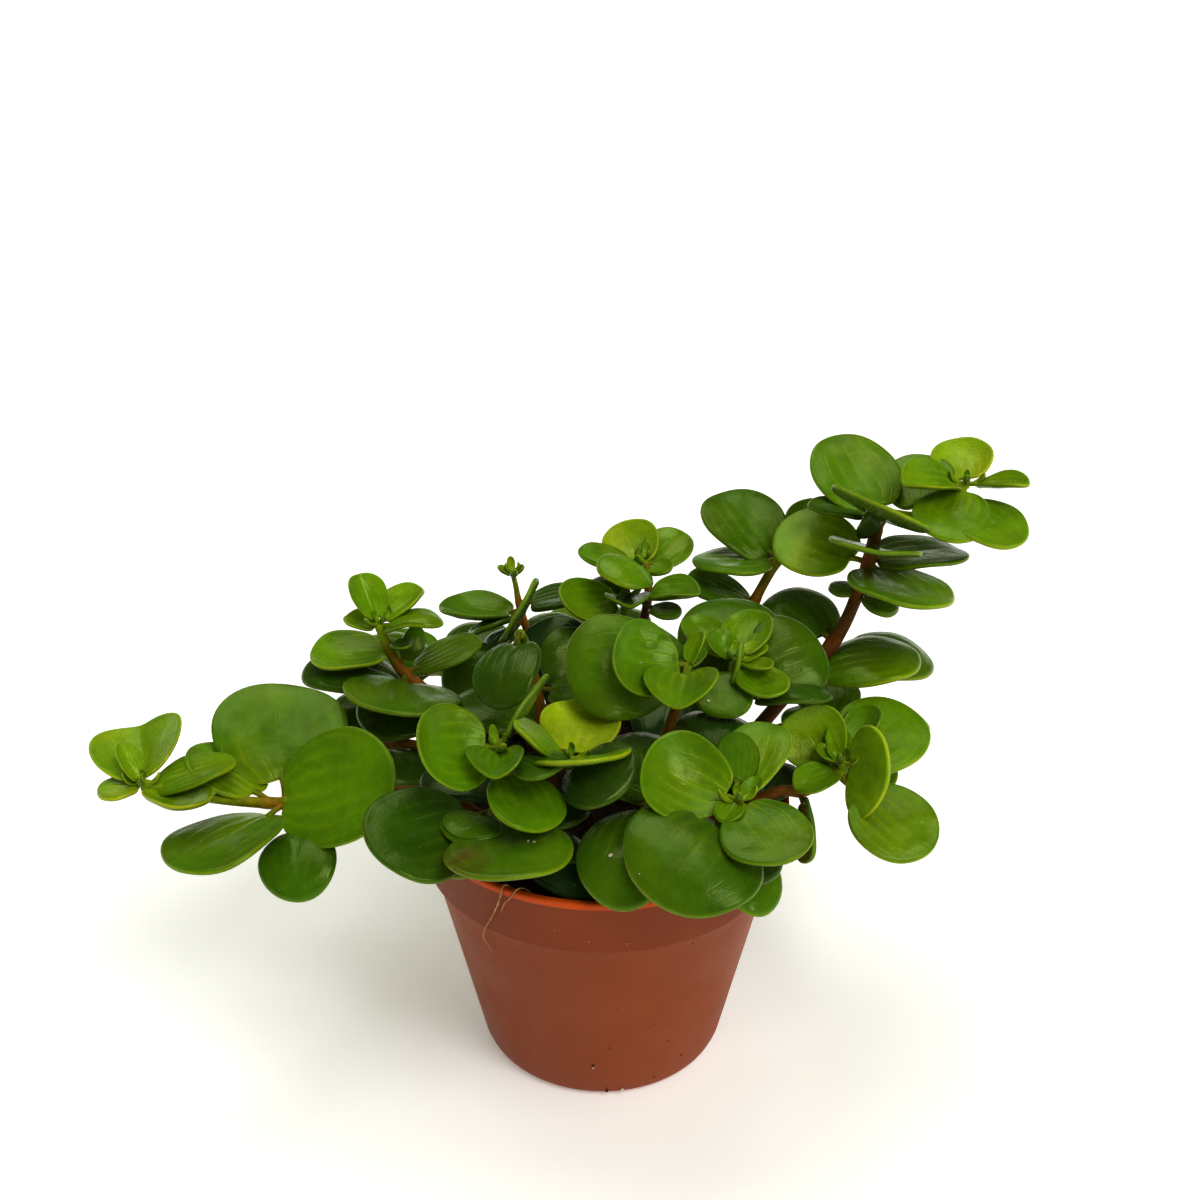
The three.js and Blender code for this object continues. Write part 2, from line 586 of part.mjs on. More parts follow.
// One leaf with its stalk as a single closed mesh. Both faces carry the same triangles, and the stalk
// grows out of the narrow gap that the rim leaves at the base.
function leafSolid(stem, leaf, number) {
  const [place, kind, heading, rise, roll, stalk, length, width] = leaf;
  const start = stemPoint(stem.path, place);
  const { along, left, upward } = leafDirections(heading, rise, roll);
  const base = start.clone().addScaledVector(along, stalk);
  const { thickness } = LEAF_KINDS[kind];
  const { rim, inner } = LEAF_DETAIL.find((detail) => length < detail.upTo);
  const halfGap = Math.asin(STALK_RADIUS / (width / 2));
  const rimAngles = [];
  for (let k = 0; k < rim; k += 1) {
    rimAngles.push(-Math.PI + halfGap + (2 * Math.PI - 2 * halfGap) * k / (rim - 1));
  }
  const innerAngles = [];
  for (let k = 0; k < inner; k += 1) {
    innerAngles.push(-Math.PI + 2 * Math.PI * (k + 0.5) / inner);
  }
  const positions = [];
  function addPoint(ring, angle, down) {
    const [x, y, z] = bladePoint(kind, length, width, number, ring, angle);
    const point = base.clone()
      .addScaledVector(along, x)
      .addScaledVector(left, y)
      .addScaledVector(upward, z - down);
    positions.push(point.x, point.y, point.z);
  }
  for (const down of [0, thickness]) {
    rimAngles.forEach((angle) => addPoint(1, angle, down));
    innerAngles.forEach((angle) => addPoint(MIDDLE_RING, angle, down));
    addPoint(0, 0, down);
  }
  const count = rim + inner + 1;
  const middle = rim + inner;
  const faces = inner > 0 ? ringTriangles(rimAngles, innerAngles, 0, rim) : [];
  const fanStart = inner > 0 ? rim : 0;
  const fanCount = inner > 0 ? inner : rim;
  for (let k = 0; k < fanCount; k += 1) {
    faces.push([fanStart + k, fanStart + (k + 1) % fanCount, middle]);
  }
  const triangles = [];
  for (const [a, b, c] of faces) {
    triangles.push(a, b, c, c + count, b + count, a + count);
  }
  for (let k = 0; k < rim - 1; k += 1) {
    triangles.push(k, k + count, k + 1, k + 1, k + count, k + 1 + count);
  }
  // The stalk's far end sits on the middle of the stem, with the same four corners as the gap.
  const gap = [0, rim - 1, rim - 1 + count, count];
  const end = [[-1, 1], [1, 1], [1, -1], [-1, -1]];
  for (const [side, level] of end) {
    const corner = start.clone()
      .addScaledVector(left, side * STALK_RADIUS * 0.8)
      .addScaledVector(upward, level * STALK_RADIUS * 0.8);
    positions.push(corner.x, corner.y, corner.z);
  }
  for (let k = 0; k < 4; k += 1) {
    const next = (k + 1) % 4;
    const far = 2 * count + k;
    const farNext = 2 * count + next;
    triangles.push(gap[k], gap[next], far, far, gap[next], farNext);
  }
  triangles.push(2 * count, 2 * count + 1, 2 * count + 2, 2 * count, 2 * count + 2, 2 * count + 3);
  return solid(positions, triangles);
}

function stemBar(stem) {
  const points = [stemPoint(stem.path, 0)];
  for (let place = 1; place <= stem.path.length - 1; place += STEM_STEP) {
    points.push(stemPoint(stem.path, place));
  }
  return bar(points, stem.radius, stem.topRadius, STEM_SIDES);
}

// All pieces of the plant, each stem joined with its leaves under its name.
function makeLeafyStems() {
  const pieces = new Map();
  let number = 0;
  for (const stem of LEAFY_STEMS) {
    let piece = stemBar(stem);
    for (const leaf of stem.leaves) {
      piece = piece.add(leafSolid(stem, leaf, number));
      number += 1;
    }
    const joined = pieces.get(stem.name);
    pieces.set(stem.name, joined ? joined.add(piece) : piece);
  }
  return pieces;
}

const group = new THREE.Group();
group.name = 'potted_peperomia';

function addPiece(name, shape, colour, roughness) {
  const material = new THREE.MeshStandardMaterial({ color: colour, roughness, metalness: 0 });
  const mesh = new THREE.Mesh(geometryFromSolid(shape), material);
  mesh.name = name;
  group.add(mesh);
}

addPiece('pot', makePot(), COLOURS.pot, 0.55);
addPiece('soil', makeSoil(), COLOURS.soil, 0.95);
for (const [name, shape] of makeLeafyStems()) {
  addPiece(`leafy_stem_${name}`, shape, COLOURS.leaves, 0.35);
}

export default group;
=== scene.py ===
# Hope peperomia in a round plastic nursery pot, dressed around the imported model.
import math

import bmesh
import bpy
import numpy as np
from mathutils import Matrix, Vector


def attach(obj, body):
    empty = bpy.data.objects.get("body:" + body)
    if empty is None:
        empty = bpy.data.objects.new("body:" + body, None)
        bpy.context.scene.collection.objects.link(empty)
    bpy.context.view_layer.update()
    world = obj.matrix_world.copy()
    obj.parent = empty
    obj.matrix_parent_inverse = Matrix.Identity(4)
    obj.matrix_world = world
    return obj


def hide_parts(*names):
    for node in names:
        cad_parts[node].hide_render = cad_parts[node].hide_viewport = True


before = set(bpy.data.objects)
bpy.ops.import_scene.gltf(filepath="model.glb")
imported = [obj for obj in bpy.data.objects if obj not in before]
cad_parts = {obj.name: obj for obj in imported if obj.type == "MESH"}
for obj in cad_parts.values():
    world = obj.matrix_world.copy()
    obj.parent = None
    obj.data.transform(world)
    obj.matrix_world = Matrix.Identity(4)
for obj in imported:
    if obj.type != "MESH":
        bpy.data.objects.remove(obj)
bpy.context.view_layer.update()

# Lengths in this script are in millimetres, as in the part's source; pieces are scaled to metres.
MM = 0.001

# Camera
LENS_MM = 48
SENSOR_MM = 36
CAMERA_PLACE = (-0.8, -435, 376)
CAMERA_TILT = 63.65
# Below one, this deepens the picture's contrast.
CONTRAST_GAMMA = 0.8

# Soft far lights: name, the direction the light comes from, its width in degrees and its power.
LIGHTS = (
    ("key", (0.45, -0.55, 1.0), 32, 1.52),
    ("overhead", (-0.15, 0.35, 1.0), 45, 1.2),
    ("front", (0.25, -1.0, 0.22), 12, 0.22),
    ("side", (0.80, -0.60, 0.34), 12, 0.32),
)
SKY_COLOUR = (1.0, 0.98, 0.60)
SKY_STRENGTH = 0.21
FLOOR_TONES = ((0.92, 0.92, 0.92), (0.94, 0.94, 0.94))
# The pale floor's own faint light, as of a lit table.
FLOOR_GLOW = 0.30
# The floor in metres: level as far as this, then rising by this at twice the reach.
FLOOR_LEVEL_REACH = 4.0
FLOOR_RISE = 2.8
FLOOR_RINGS = (1.0, 4.0, 4.4, 4.8, 5.2, 5.6, 6.0, 6.5)
FLOOR_SIDES = 96

# Pot
RIM_RADIUS = 60
RIM_HEIGHT = 92
LIP_THICKNESS = 2.2
LIP_HEIGHT = 2.6
LIP_STEP = 0.9
COLLAR_BOTTOM = 72
COLLAR_BOTTOM_RADIUS = 57.6
WALL_TOP_RADIUS = 55.5
WALL_FOOT_RADIUS = 40.8
BASE_RADIUS = 40
CORNER_SIZE = 4
WALL = 1.6
# Radii of the rounded edges, from the base up.
BASE_ROUNDING = 4.4
STEP_ROUNDING = 0.7
COLLAR_ROUNDING = 0.5
LIP_ROUNDING = 0.6
RIM_ROUNDING = 0.9
DRAIN_HOLES = 8
DRAIN_HOLE_RADIUS = 4
DRAIN_HOLE_SIDES = 32
DRAIN_CIRCLE_RADIUS = 27
POT_SIDES = 160
# Edges of the pot that turn by more than this stay sharp.
SHARP_EDGE = 40

# Soil
SOIL_TOP = 85
SOIL_TOP_RADIUS = 56.3
SOIL_SIDES = 120
SOIL_RINGS = 34
SOIL_GRIT = 0.35
CLEARANCE = 0.3
CRUMBS = 260
CRUMB_SIZES = (0.5, 1.5)
CRUMB_REACH = 55
LUMP_ROUGHNESS = 0.22

# Stems and leaf stalks
STEM_SIDES = 14
STEM_STEP = 0.125
STALK_SIDES = 10
STALK_STEPS = 8
STALK_MAX_RADIUS = 1.25
# How far out from the middle of the blade its stalk joins it.
STALK_JOIN = 0.86
NODE_SWELLING = 0.22
NODE_REACH = 2.2
ROOT_SIDES = 8

# Leaf blades
BLADE_SIDES = 56
SMALL_BLADE_SIDES = 32
SMALL_LEAF = 15
UPPER_RINGS = (0.1, 0.2, 0.3, 0.4, 0.5, 0.59, 0.67, 0.74, 0.8, 0.85, 0.89, 0.925)
RIM_STEPS = (75, 45, 15, -15, -45, -75)
LOWER_RINGS = (0.88, 0.68, 0.44, 0.2)
# The leaf length at which the lengths of ripples, furrows and curl hold; they grow with the leaf.
USUAL_LENGTH = 30
OUTLINE_WAVE = 0.03
SURFACE_WAVE = 0.02
RIM_RIPPLE = 0.22
DIMPLES = 0.15
BASE_NOTCH = 0.07
NOTCH_SHARPNESS = 16
EGG_SHAPE = 0.1
FOLD_SOFTNESS = 0.02
CURL_START = 0.6
# Soft furrows and pale veins, by how far out they run: 0 on the midrib, 1 along the rim.
FURROWS = ((0, 0.09, 0.24), (0.36, 0.08, 0.12), (0.7, 0.08, 0.08))
VEINS = ((0, 0.036), (0.30, 0.030), (0.58, 0.028), (0.84, 0.020))
# Keeps the veins a little apart at the two ends of the blade.
VEIN_SPREAD = 0.03
# The soft band around a vein is this many times as wide as its fine line.
BAND_WIDTH = 4.2

# How a leaf of each kind is bent, as shares of its size: cup, arch and fold; then its thickness and how far
# its rim curls down.
LEAF_KINDS = {
    "young": (0.11, 0, 0.02, 1.6, -0.3),
    "grown": (0.03, 0.04, 0, 1.8, 0.5),
    "old": (-0.05, 0.06, 0, 2, 0.7),
    "drooping": (-0.03, 0.14, -0.02, 1.8, 0.7),
    "folded": (0.04, 0.02, 0.26, 1.5, -0.2),
    "edgewise": (0.05, 0.03, 0.04, 1.8, 0.3),
    "tip": (0.14, 0, 0.1, 1.1, 0),
    "bud": (0.02, -0.22, 0.16, 0.9, 0),
}
# The two pairs of tiny leaves in a bud: turn, rise, length, width and tone.
BUD_PAIRS = ((0, 40, 6.6, 3.0, 1), (90, 68, 4.2, 2.1, 2))
BUD_STALK = 0.6

# Leaf colours from the youngest to the oldest.
LEAF_TONES = (
    (0.272, 0.430, 0.006), (0.205, 0.360, 0.004), (0.150, 0.293, 0.003), (0.118, 0.248, 0.003),
    (0.094, 0.208, 0.003), (0.076, 0.172, 0.003), (0.058, 0.138, 0.003), (0.043, 0.108, 0.004),
    (0.032, 0.082, 0.006), (0.027, 0.068, 0.016),
)
# How much lighter or darker than its tone a leaf may be.
TONE_VARIETY = 0.07
STEM_GREEN = (0.22, 0.19, 0.006)
STEM_BROWN = (0.26, 0.105, 0.006)
STEM_DARK = (0.115, 0.040, 0.010)
STALK_RED = (0.33, 0.100, 0.006)
# The part of a stem, counted from its base, where its dark foot ends, where its green tip begins and where it
# is fully green.
FOOT_START = 0.30
FOOT_END = 0.62
TIP_START = 0.62
TIP_END = 0.9
# The stems thicker than this are old and dark.
OLD_STEM_RADIUS = 2.5

# Changes to the leaf's colour, as factors; the deepening also gives the painted shade just inside the rim,
# and the edge lightening is partly a painted highlight on the rounded rim.
YELLOWING = (1.34, 1.08, 1.0)
DEEPENING = (0.74, 0.80, 1.0)
PALING = (1.80, 1.42, 1.3)
# The edge lightening is partly the rim's own paler colour and partly a painted highlight along the rounded
# edge.
EDGE_PALING_AND_GLINT = (1.95, 1.42, 1.5)
# Colours laid over the leaf's own; the first is a painted highlight, a sparkle of tiny pale glints on young
# leaves.
SPARKLE_HIGHLIGHT_COLOUR = (0.36, 0.46, 0.03)
YOUNG_RIM_COLOUR = (0.30, 0.235, 0.012)
UNDERSIDE_COLOUR = (0.105, 0.150, 0.030)
RUST_COLOUR = (0.120, 0.040, 0.004)
DARK_DOT_COLOUR = (0.03, 0.035, 0.006)
PALE_DOT_COLOUR = (0.30, 0.40, 0.14)
STEM_DOT_COLOUR = (0.32, 0.17, 0.03)

# Pot colours: the wall's two, then its collar, the painted shade on the collar's left side, the lip and the
# dust.
POT_TONES = ((0.244, 0.058, 0.015), (0.280, 0.068, 0.017))
COLLAR_COLOUR = (0.212, 0.038, 0.007)
PAINTED_COLLAR_SHADE = (0.165, 0.041, 0.014)
LIP_COLOUR = (0.52, 0.085, 0.004)
DUST_COLOUR = (0.42, 0.30, 0.22)

# Dark and light colours of the soil and of the small things.
SOIL_TONES = ((0.010, 0.006, 0.004), (0.055, 0.032, 0.018))
FIBRE_COLOUR = (0.12, 0.08, 0.045)
GRAIN_TONES = ((0.5, 0.42, 0.3), (0.75, 0.68, 0.55))
SPECK_AND_SHADE_TONES = ((0.045, 0.016, 0.008), (0.09, 0.030, 0.012))
ROOT_TONES = ((0.30, 0.13, 0.045), (0.52, 0.30, 0.12))

# A rusty patch on one leaf: stem name, leaf index, then its middle along and across and its size.
RUST_PATCH = ("low_front_left", 1, 0.62, -0.88, 0.36)
# Pale grains of potting mix on leaves: stem name, leaf index, place along and across the leaf, size.
GRAINS = (
    ("front", 0, 0.65, -0.20, 0.75),
    ("centre_right", 9, 0.75, -0.40, 0.6),
    ("centre", 1, 0.55, 0.05, 0.35),
    ("low_front_left", 1, 0.50, 0.35, 0.5),
    ("low_front_left", 1, 0.53, 0.42, 0.4),
    ("front_right", 4, 0.90, -0.40, 0.25),
)
# Dark specks on the pot: heading in degrees, height, size. The first sits just above the pale chip at -94
# degrees and is painted shade over that chip; the others are marks.
POT_SPECKS_AND_SHADE = (
    (-94, 16, 0.45), (-88, 63, 0.18), (-85, 44, 0.16), (-87, 25, 0.22), (-120, 30, 0.18), (-70, 34, 0.18),
    (-62, 23, 0.24), (-53, 12, 0.26), (-66, 6, 0.26), (-57, 42, 0.18), (-60, 68, 0.2), (-88, 3, 0.5),
)
POT_CHIPS = ((-94, 15, 0.45), (-83, 76, 0.22), (-94, 77, 0.18), (-81, 3, 0.6), (-104, 80, 0.15))
# Two thin roots that hang over the rim: radius, then points from the soil to the free end.
HANGING_ROOTS = (
    (0.30, ((-25, -44, 84), (-27, -49, 90), (-29, -52, 93), (-30, -53, 90), (-31, -52, 86),
            (-33, -50, 80), (-35, -48, 75), (-36, -46, 71), (-36, -43, 66), (-34, -42, 61))),
    (0.28, ((-20, -47, 85), (-23, -51, 91), (-25, -54, 93), (-27, -54, 90), (-29, -53, 87),
            (-30, -53, 84))),
)

# Stems whose last leaf hides their end.
BUDLESS = ("centre_left", "front", "low_front_left", "centre")
# Each stem has a name, a radius at its base and at its tip, a path that starts in the soil, and its leaves.
# A leaf is (place along the path counted in path points, kind, heading, rise, roll, stalk, length, width,
# tone): heading in degrees from +X towards +Y, rise in degrees above level, roll in degrees about its own
# length, tone a place in LEAF_TONES. Rows that share a name are branches of one plant piece.
LEAFY_STEMS = (
    ("far_left", 2.2, 1.6, (
        (-36, -14, 60), (-36, -14, 88), (-56, -15, 101), (-78, -15, 99), (-99, -15, 97), (-122, -15, 99),
        (-143, -15, 104),
    ), (
        (4, "grown", 103, 28, 0, 7, 39, 43, 4), (4.2, "grown", -9, 21, 40, 1, 42, 39, 3),
        (4, "grown", -130, 0, 12, 4, 39, 36, 4), (3.8, "old", -84, -26, 5, 8, 25, 24, 6),
        (4.2, "grown", 146, 19, 10, 5, 29, 24, 3), (6, "folded", 104, 11, -13, 1, 27, 30, 1),
        (5.9, "grown", 14, 14, 4, 0, 27, 17, 2), (5.9, "young", -33, 8, -12, 0, 25, 19, 1),
        (6, "folded", 140, 50, 0, 1, 14, 8, 1), (6, "grown", -176, -2, 6, 0, 14, 15, 1),
    )),
    ("upper_left", 2.2, 1.4, (
        (-34, 24, 60), (-34, 24, 88), (-50, 32, 103), (-67, 40, 113), (-73, 42, 124), (-75, 42, 131),
    ), (
        (3.7, "young", -176, 2, 0, 0, 27, 27, 2), (3, "grown", -85, 10, -10, 3, 33, 39, 5),
        (3, "grown", 30, 15, -5, 3, 26, 20, 5), (2.7, "old", 177, 9, 0, 3, 36, 28, 7),
        (3.2, "tip", 62, 30, 70, 3, 14, 10, 5), (5, "folded", 125, 45, 0, 1, 18, 13, 2),
        (5, "folded", 34, 26, 0, 1, 18, 16, 1), (4.8, "drooping", -15, 14, 0, 1, 22, 13, 3),
        (4.8, "tip", 160, 12, -6, 1, 12, 11, 1), (4, "tip", -30, 10, 0, 2, 9, 8, 4),
        (2, "old", -165, 6, -10, 3, 30, 26, 7),
    )),
    ("back_left", 2.0, 0.7, (
        (-14, 34, 60), (-14, 34, 88), (-22, 55, 106), (-29, 75, 119), (-31, 80, 127), (-32, 81, 131),
    ), (
        (3, "young", 165, 1, 5, 2, 28, 24, 4), (3, "edgewise", -145, -5, 24, 3, 18, 16, 6),
        (3, "edgewise", -90, 27, 60, 2, 24, 26, 4), (3.2, "grown", 5, 12, -5, 2, 26, 22, 7),
        (2.8, "old", -140, -20, 16, 3, 16, 14, 8), (5, "tip", 170, 30, 0, 0, 6, 4, 2),
        (5, "tip", 10, 40, 0, 0, 5, 4, 2), (2, "old", -175, -6, -35, 5, 30, 28, 7),
    )),
    ("centre_left", 2.2, 1.6, (
        (-16, 4, 60), (-16, 4, 88), (-20, 16, 112), (-25, 27, 130), (-27, 25, 136),
    ), (
        (4, "old", -103, -24, 14, 1, 28, 23, 7), (1.8, "old", 150, 5, 0, 4, 30, 28, 6),
        (2.3, "old", -10, 5, 0, 3, 24, 24, 6),
    )),
    ("back_centre", 2.2, 1.4, (
        (4, 24, 60), (4, 24, 88), (6, 42, 112), (8, 60, 132),
    ), (
        (3, "old", 135, 0, -6, 2, 17, 15, 7), (3, "young", -150, 10, -24, 3, 22, 21, 3),
        (3, "folded", -85, 15, 0, 2, 14, 16, 4), (3, "folded", -25, 15, 5, 8, 20, 16, 3),
        (3, "grown", -35, 0, 0, 10, 12, 11, 5), (2, "old", 165, 7, -44, 7, 31, 30, 9),
        (2.1, "old", -168, 9, -44, 3, 25, 27, 7),
    )),
    ("back_centre", 2.0, 1.2, (
        (6, 42, 112), (13, 54, 122), (16, 64, 131), (15, 70, 139), (14, 71, 141),
    ), (
        (3, "young", 115, 22, -20, 1, 22, 20, 0), (3, "young", 50, 15, 15, 1, 22, 18, 2),
        (3, "drooping", -120, 12, -20, 2, 23, 20, 3), (2.8, "grown", 162, 14, -5, 4, 21, 14, 3),
        (3, "young", -35, 15, 15, 1, 10, 9, 2),
    )),
    ("back_right", 2.2, 1.5, (
        (32, 34, 60), (32, 34, 88), (43, 45, 112), (51, 54, 131), (60, 60, 146), (66, 63, 150),
    ), (
        (4, "grown", 125, 25, -8, 2, 34, 29, 5), (4, "grown", 172, -2, 5, 0, 29, 26, 4),
        (3.1, "grown", 158, 16, 0, 1, 24, 20, 5), (5, "young", 60, 20, 0, 2, 24, 20, 4),
    )),
    ("tall_right", 2.9, 1.5, (
        (40, 14, 60), (40, 14, 88), (58, 24, 110), (78, 35, 130), (88, 45, 152), (92, 48, 167),
        (105, 50, 167), (120, 55, 176),
    ), (
        (5, "grown", 111, 26, -8, 3, 36, 30, 3), (5, "edgewise", -105, 33, -18, 1, 24, 34, 3),
        (5, "grown", 158, 6, 0, 5, 20, 13, 6), (4, "grown", 150, 10, -25, 4, 30, 29, 2),
        (4.3, "edgewise", -97, 22, -7, 2, 26, 30, 5), (4, "grown", -66, 2, -8, 1, 36, 34, 3),
        (4.1, "grown", 15, 0, -4, 0, 34, 29, 4), (4.6, "edgewise", -130, 40, 75, 1, 12, 11, 7),
        (3.6, "old", 165, 4, 0, 1, 9, 10, 6), (3.6, "old", -35, -15, 0, 2, 13, 13, 5),
        (7, "young", 88, 20, -12, 2, 22, 21, 0), (7, "folded", -35, 15, 10, 3, 19, 9, 1),
        (7, "grown", -115, -15, -5, 2, 28, 25, 2), (6.7, "grown", -61, -9, 5, 4, 28, 25, 2),
        (7, "folded", -163, 9, -14, 2, 22, 17, 2), (6, "grown", 86, 26, -14, 3, 25, 24, 3),
        (2.9, "old", 124, 12, -6, 3, 28, 28, 6), (2.5, "old", -5, 11, 5, 0, 37, 28, 3),
        (2.6, "old", 13, -2, 4, 10, 31, 30, 4),
    )),
    ("centre", 2.2, 1.4, (
        (14, -2, 60), (14, -2, 88), (20, -1, 112), (25, 0, 131), (26, 0, 138),
    ), (
        (3.2, "old", 178, 11, -45, 1, 37, 34, 5), (4, "young", -160, 20, -45, 1, 25, 25, 4),
        (4, "folded", -100, -10, 5, 2, 18, 23, 3), (3.8, "tip", 70, 15, 0, 1, 11, 9, 4),
        (3.9, "grown", 112, 12, 30, 2, 19, 12, 5), (4, "folded", 48, 52, 0, 0, 12, 6, 3),
        (1.6, "old", 80, 14, 0, 7, 32, 26, 9),
    )),
    ("centre_right", 2.2, 1.5, (
        (30, 6, 60), (30, 6, 88), (36, 8, 112), (41, 10, 129), (42, 10, 134),
    ), (
        (2.6, "old", 81, 23, 0, 5, 35, 36, 5), (2.9, "old", 20, 12, 32, 6, 27, 30, 6),
        (4, "young", 124, 15, -2, 3, 22, 15, 3), (4, "young", 70, 20, -4, 3, 21, 17, 3),
        (4, "tip", 130, 35, 0, 1, 12, 11, 4), (4, "edgewise", -95, 25, 80, 0, 10, 14, 4),
        (4, "tip", 30, 18, 0, 1, 11, 9, 2), (4, "tip", -30, 10, 0, 1, 12, 8, 2),
        (3.9, "young", -48, -5, 5, 2, 19, 16, 2), (3.8, "grown", -110, -25, 0, 2, 19, 18, 5),
        (2.5, "old", -10, 8, -4, 8, 26, 15, 7), (2.4, "old", -101, -5, 0, 4, 28, 27, 8),
    )),
    ("right", 2.2, 1.5, (
        (44, -10, 60), (44, -10, 88), (54, -12, 99), (64, -12, 100), (74, -10, 105), (75, -10, 109),
    ), (
        (4, "young", 135, 38, -42, 2, 22, 22, 1), (5, "edgewise", -56, 9, 74, 1, 18, 30, 1),
        (5, "young", 60, 30, -18, 5, 18, 14, 3), (5, "tip", 95, 30, 0, 1, 12, 9, 2),
        (5, "tip", 155, 25, 0, 1, 9, 7, 2), (4.2, "folded", -150, -3, -14, 1, 17, 12, 3),
        (4, "grown", -46, -19, 16, 8, 29, 27, 3), (4, "grown", 40, 20, 14, 4, 31, 30, 2),
        (2.8, "edgewise", -90, -33, 75, 2, 22, 15, 6), (1.6, "old", 70, 4, 0, 1, 22, 20, 9),
    )),
    ("front_right", 2.2, 1.5, (
        (24, -28, 60), (24, -28, 88), (32, -36, 103), (38, -43, 113), (39, -45, 118),
    ), (
        (4, "young", 165, 20, -32, 2, 28, 28, 3), (4, "grown", -63, -4, 10, 1, 28, 26, 4),
        (4, "grown", 85, 20, 20, 6, 20, 14, 5), (3, "grown", 66, 26, -10, 7, 27, 21, 3),
        (3, "drooping", -125, -12, -15, 4, 36, 42, 6), (4, "folded", -120, -10, 0, 0, 10, 9, 3),
        (4, "tip", 45, 20, 0, 1, 10, 6, 3), (2, "old", -51, -28, 0, 4, 27, 22, 4),
        (2.4, "old", -62, -15, 0, 4, 22, 20, 8),
    )),
    ("front", 2.0, 1.6, (
        (8, -22, 60), (8, -22, 88), (12, -28, 100), (14, -33, 111),
    ), (
        (3, "drooping", -107, -20, 10, 2, 37, 31, 6), (3, "old", 100, 9, 0, 2, 30, 24, 7),
        (3, "grown", 150, 12, 0, 0, 12, 12, 5),
    )),
    ("front_left", 2.2, 1.5, (
        (-22, -18, 60), (-22, -18, 88), (-26, -24, 107), (-31, -29, 122), (-31, -30, 127),
    ), (
        (4, "young", -145, 20, -45, 2, 26, 27, 3), (3, "grown", -60, -15, -10, 5, 25, 24, 3),
        (4, "folded", -90, 4, 0, 1, 17, 17, 4), (4, "edgewise", 60, 25, -58, 1, 27, 18, 5),
        (3.5, "grown", -38, 8, 0, 8, 16, 17, 6), (2, "old", 170, 8, 0, 3, 27, 22, 9),
    )),
    ("front_left", 2.2, 1.5, (
        (-4, -12, 60), (-4, -12, 88), (-8, -18, 104), (-10, -24, 117), (-10, -25, 120),
    ), (
        (4, "young", 76, 16, 4, 2, 23, 25, 0), (4, "edgewise", -157, 44, -8, 2, 21, 17, 2),
        (4, "edgewise", -70, 30, -2, 1, 24, 30, 2), (3.8, "old", -52, 6, 26, 1, 25, 25, 8),
        (2, "old", -112, 6, 0, 3, 20, 20, 8),
    )),
    ("low_front_left", 2.2, 1.8, (
        (-28, -32, 60), (-28, -32, 88), (-32, -34, 98), (-34, -35, 107),
    ), (
        (3, "grown", -147, 4, -26, 5, 34, 33, 7), (3, "grown", -72, 5, 0, 4, 34, 37, 5),
        (3, "old", -118, 8, 0, 0, 18, 20, 5), (2, "old", -130, 0, 0, 4, 20, 18, 6),
        (1.3, "old", -32, -3, 0, 6, 30, 18, 9), (1.6, "old", -12, 2, 0, 5, 22, 16, 8),
    )),
    ("left_behind", 2.0, 1.5, (
        (-44, 10, 60), (-44, 10, 88), (-62, 18, 98), (-80, 26, 90), (-94, 32, 82),
    ), (
        (4, "grown", 155, 0, 0, 5, 28, 26, 4), (4, "grown", 50, -5, 0, 5, 28, 26, 5),
        (4, "grown", -85, -10, 0, 5, 26, 24, 5), (3, "old", 95, 18, 0, 5, 26, 24, 6),
        (2.8, "old", -110, 5, 0, 5, 26, 24, 7), (2.3, "old", -85, -3, -8, 1, 26, 28, 8),
    )),
    ("behind_left", 2.0, 1.5, (
        (-25, 38, 60), (-25, 38, 88), (-42, 60, 100), (-56, 78, 92), (-64, 90, 86),
    ), (
        (4, "grown", 125, 5, 0, 5, 29, 26, 4), (4, "grown", 15, 0, 0, 5, 28, 26, 5),
        (4, "grown", -130, -5, 0, 5, 28, 24, 5), (3, "old", 165, 18, 0, 5, 28, 25, 6),
        (3, "old", 60, 16, 0, 5, 26, 24, 6),
    )),
    ("behind_middle", 2.0, 1.5, (
        (-2, 44, 60), (-2, 44, 88), (-3, 64, 101), (-5, 84, 96), (-6, 98, 92),
    ), (
        (4, "grown", 95, 5, 0, 5, 28, 26, 4), (4, "grown", -20, 0, 0, 5, 27, 25, 5),
        (4, "grown", -150, 0, 0, 5, 26, 24, 5), (3, "old", 50, 16, 0, 5, 26, 24, 6),
        (3, "old", 140, 16, 0, 5, 24, 23, 7),
    )),
    ("behind_right", 2.0, 1.5, (
        (22, 40, 60), (22, 40, 88), (36, 62, 101), (48, 78, 95), (56, 90, 90),
    ), (
        (4, "grown", 65, 5, 0, 5, 29, 26, 4), (4, "grown", -50, 0, 0, 5, 26, 24, 4),
        (4, "grown", 170, 0, 0, 5, 27, 24, 5), (3, "old", 110, 16, 0, 5, 26, 24, 6),
        (3, "old", -10, 14, 0, 5, 24, 23, 7),
    )),
    ("right_behind", 2.0, 1.5, (
        (41, 26, 60), (41, 26, 88), (62, 30, 98), (76, 37, 92), (86, 42, 86),
    ), (
        (4, "grown", 25, 5, 0, 4, 26, 26, 4), (4, "grown", -80, -5, 0, 5, 24, 22, 5),
        (4, "grown", 130, 0, 0, 5, 24, 22, 5), (3, "old", 80, 16, 0, 5, 24, 23, 5),
        (2.6, "old", -60, 5, 0, 5, 22, 20, 7),
    )),
)


def mix(a, b, share):
    """The values a given share of the way from a to b."""
    return tuple(x + (y - x) * share for x, y in zip(a, b))


def smooth(low, high, value):
    """A soft step from 0 at low to 1 at high."""
    t = np.clip((value - low) / (high - low), 0, 1)
    return t * t * (3 - 2 * t)


def circle(sides):
    """The angles of evenly spaced points round a circle."""
    return 2 * math.pi * np.arange(sides) / sides


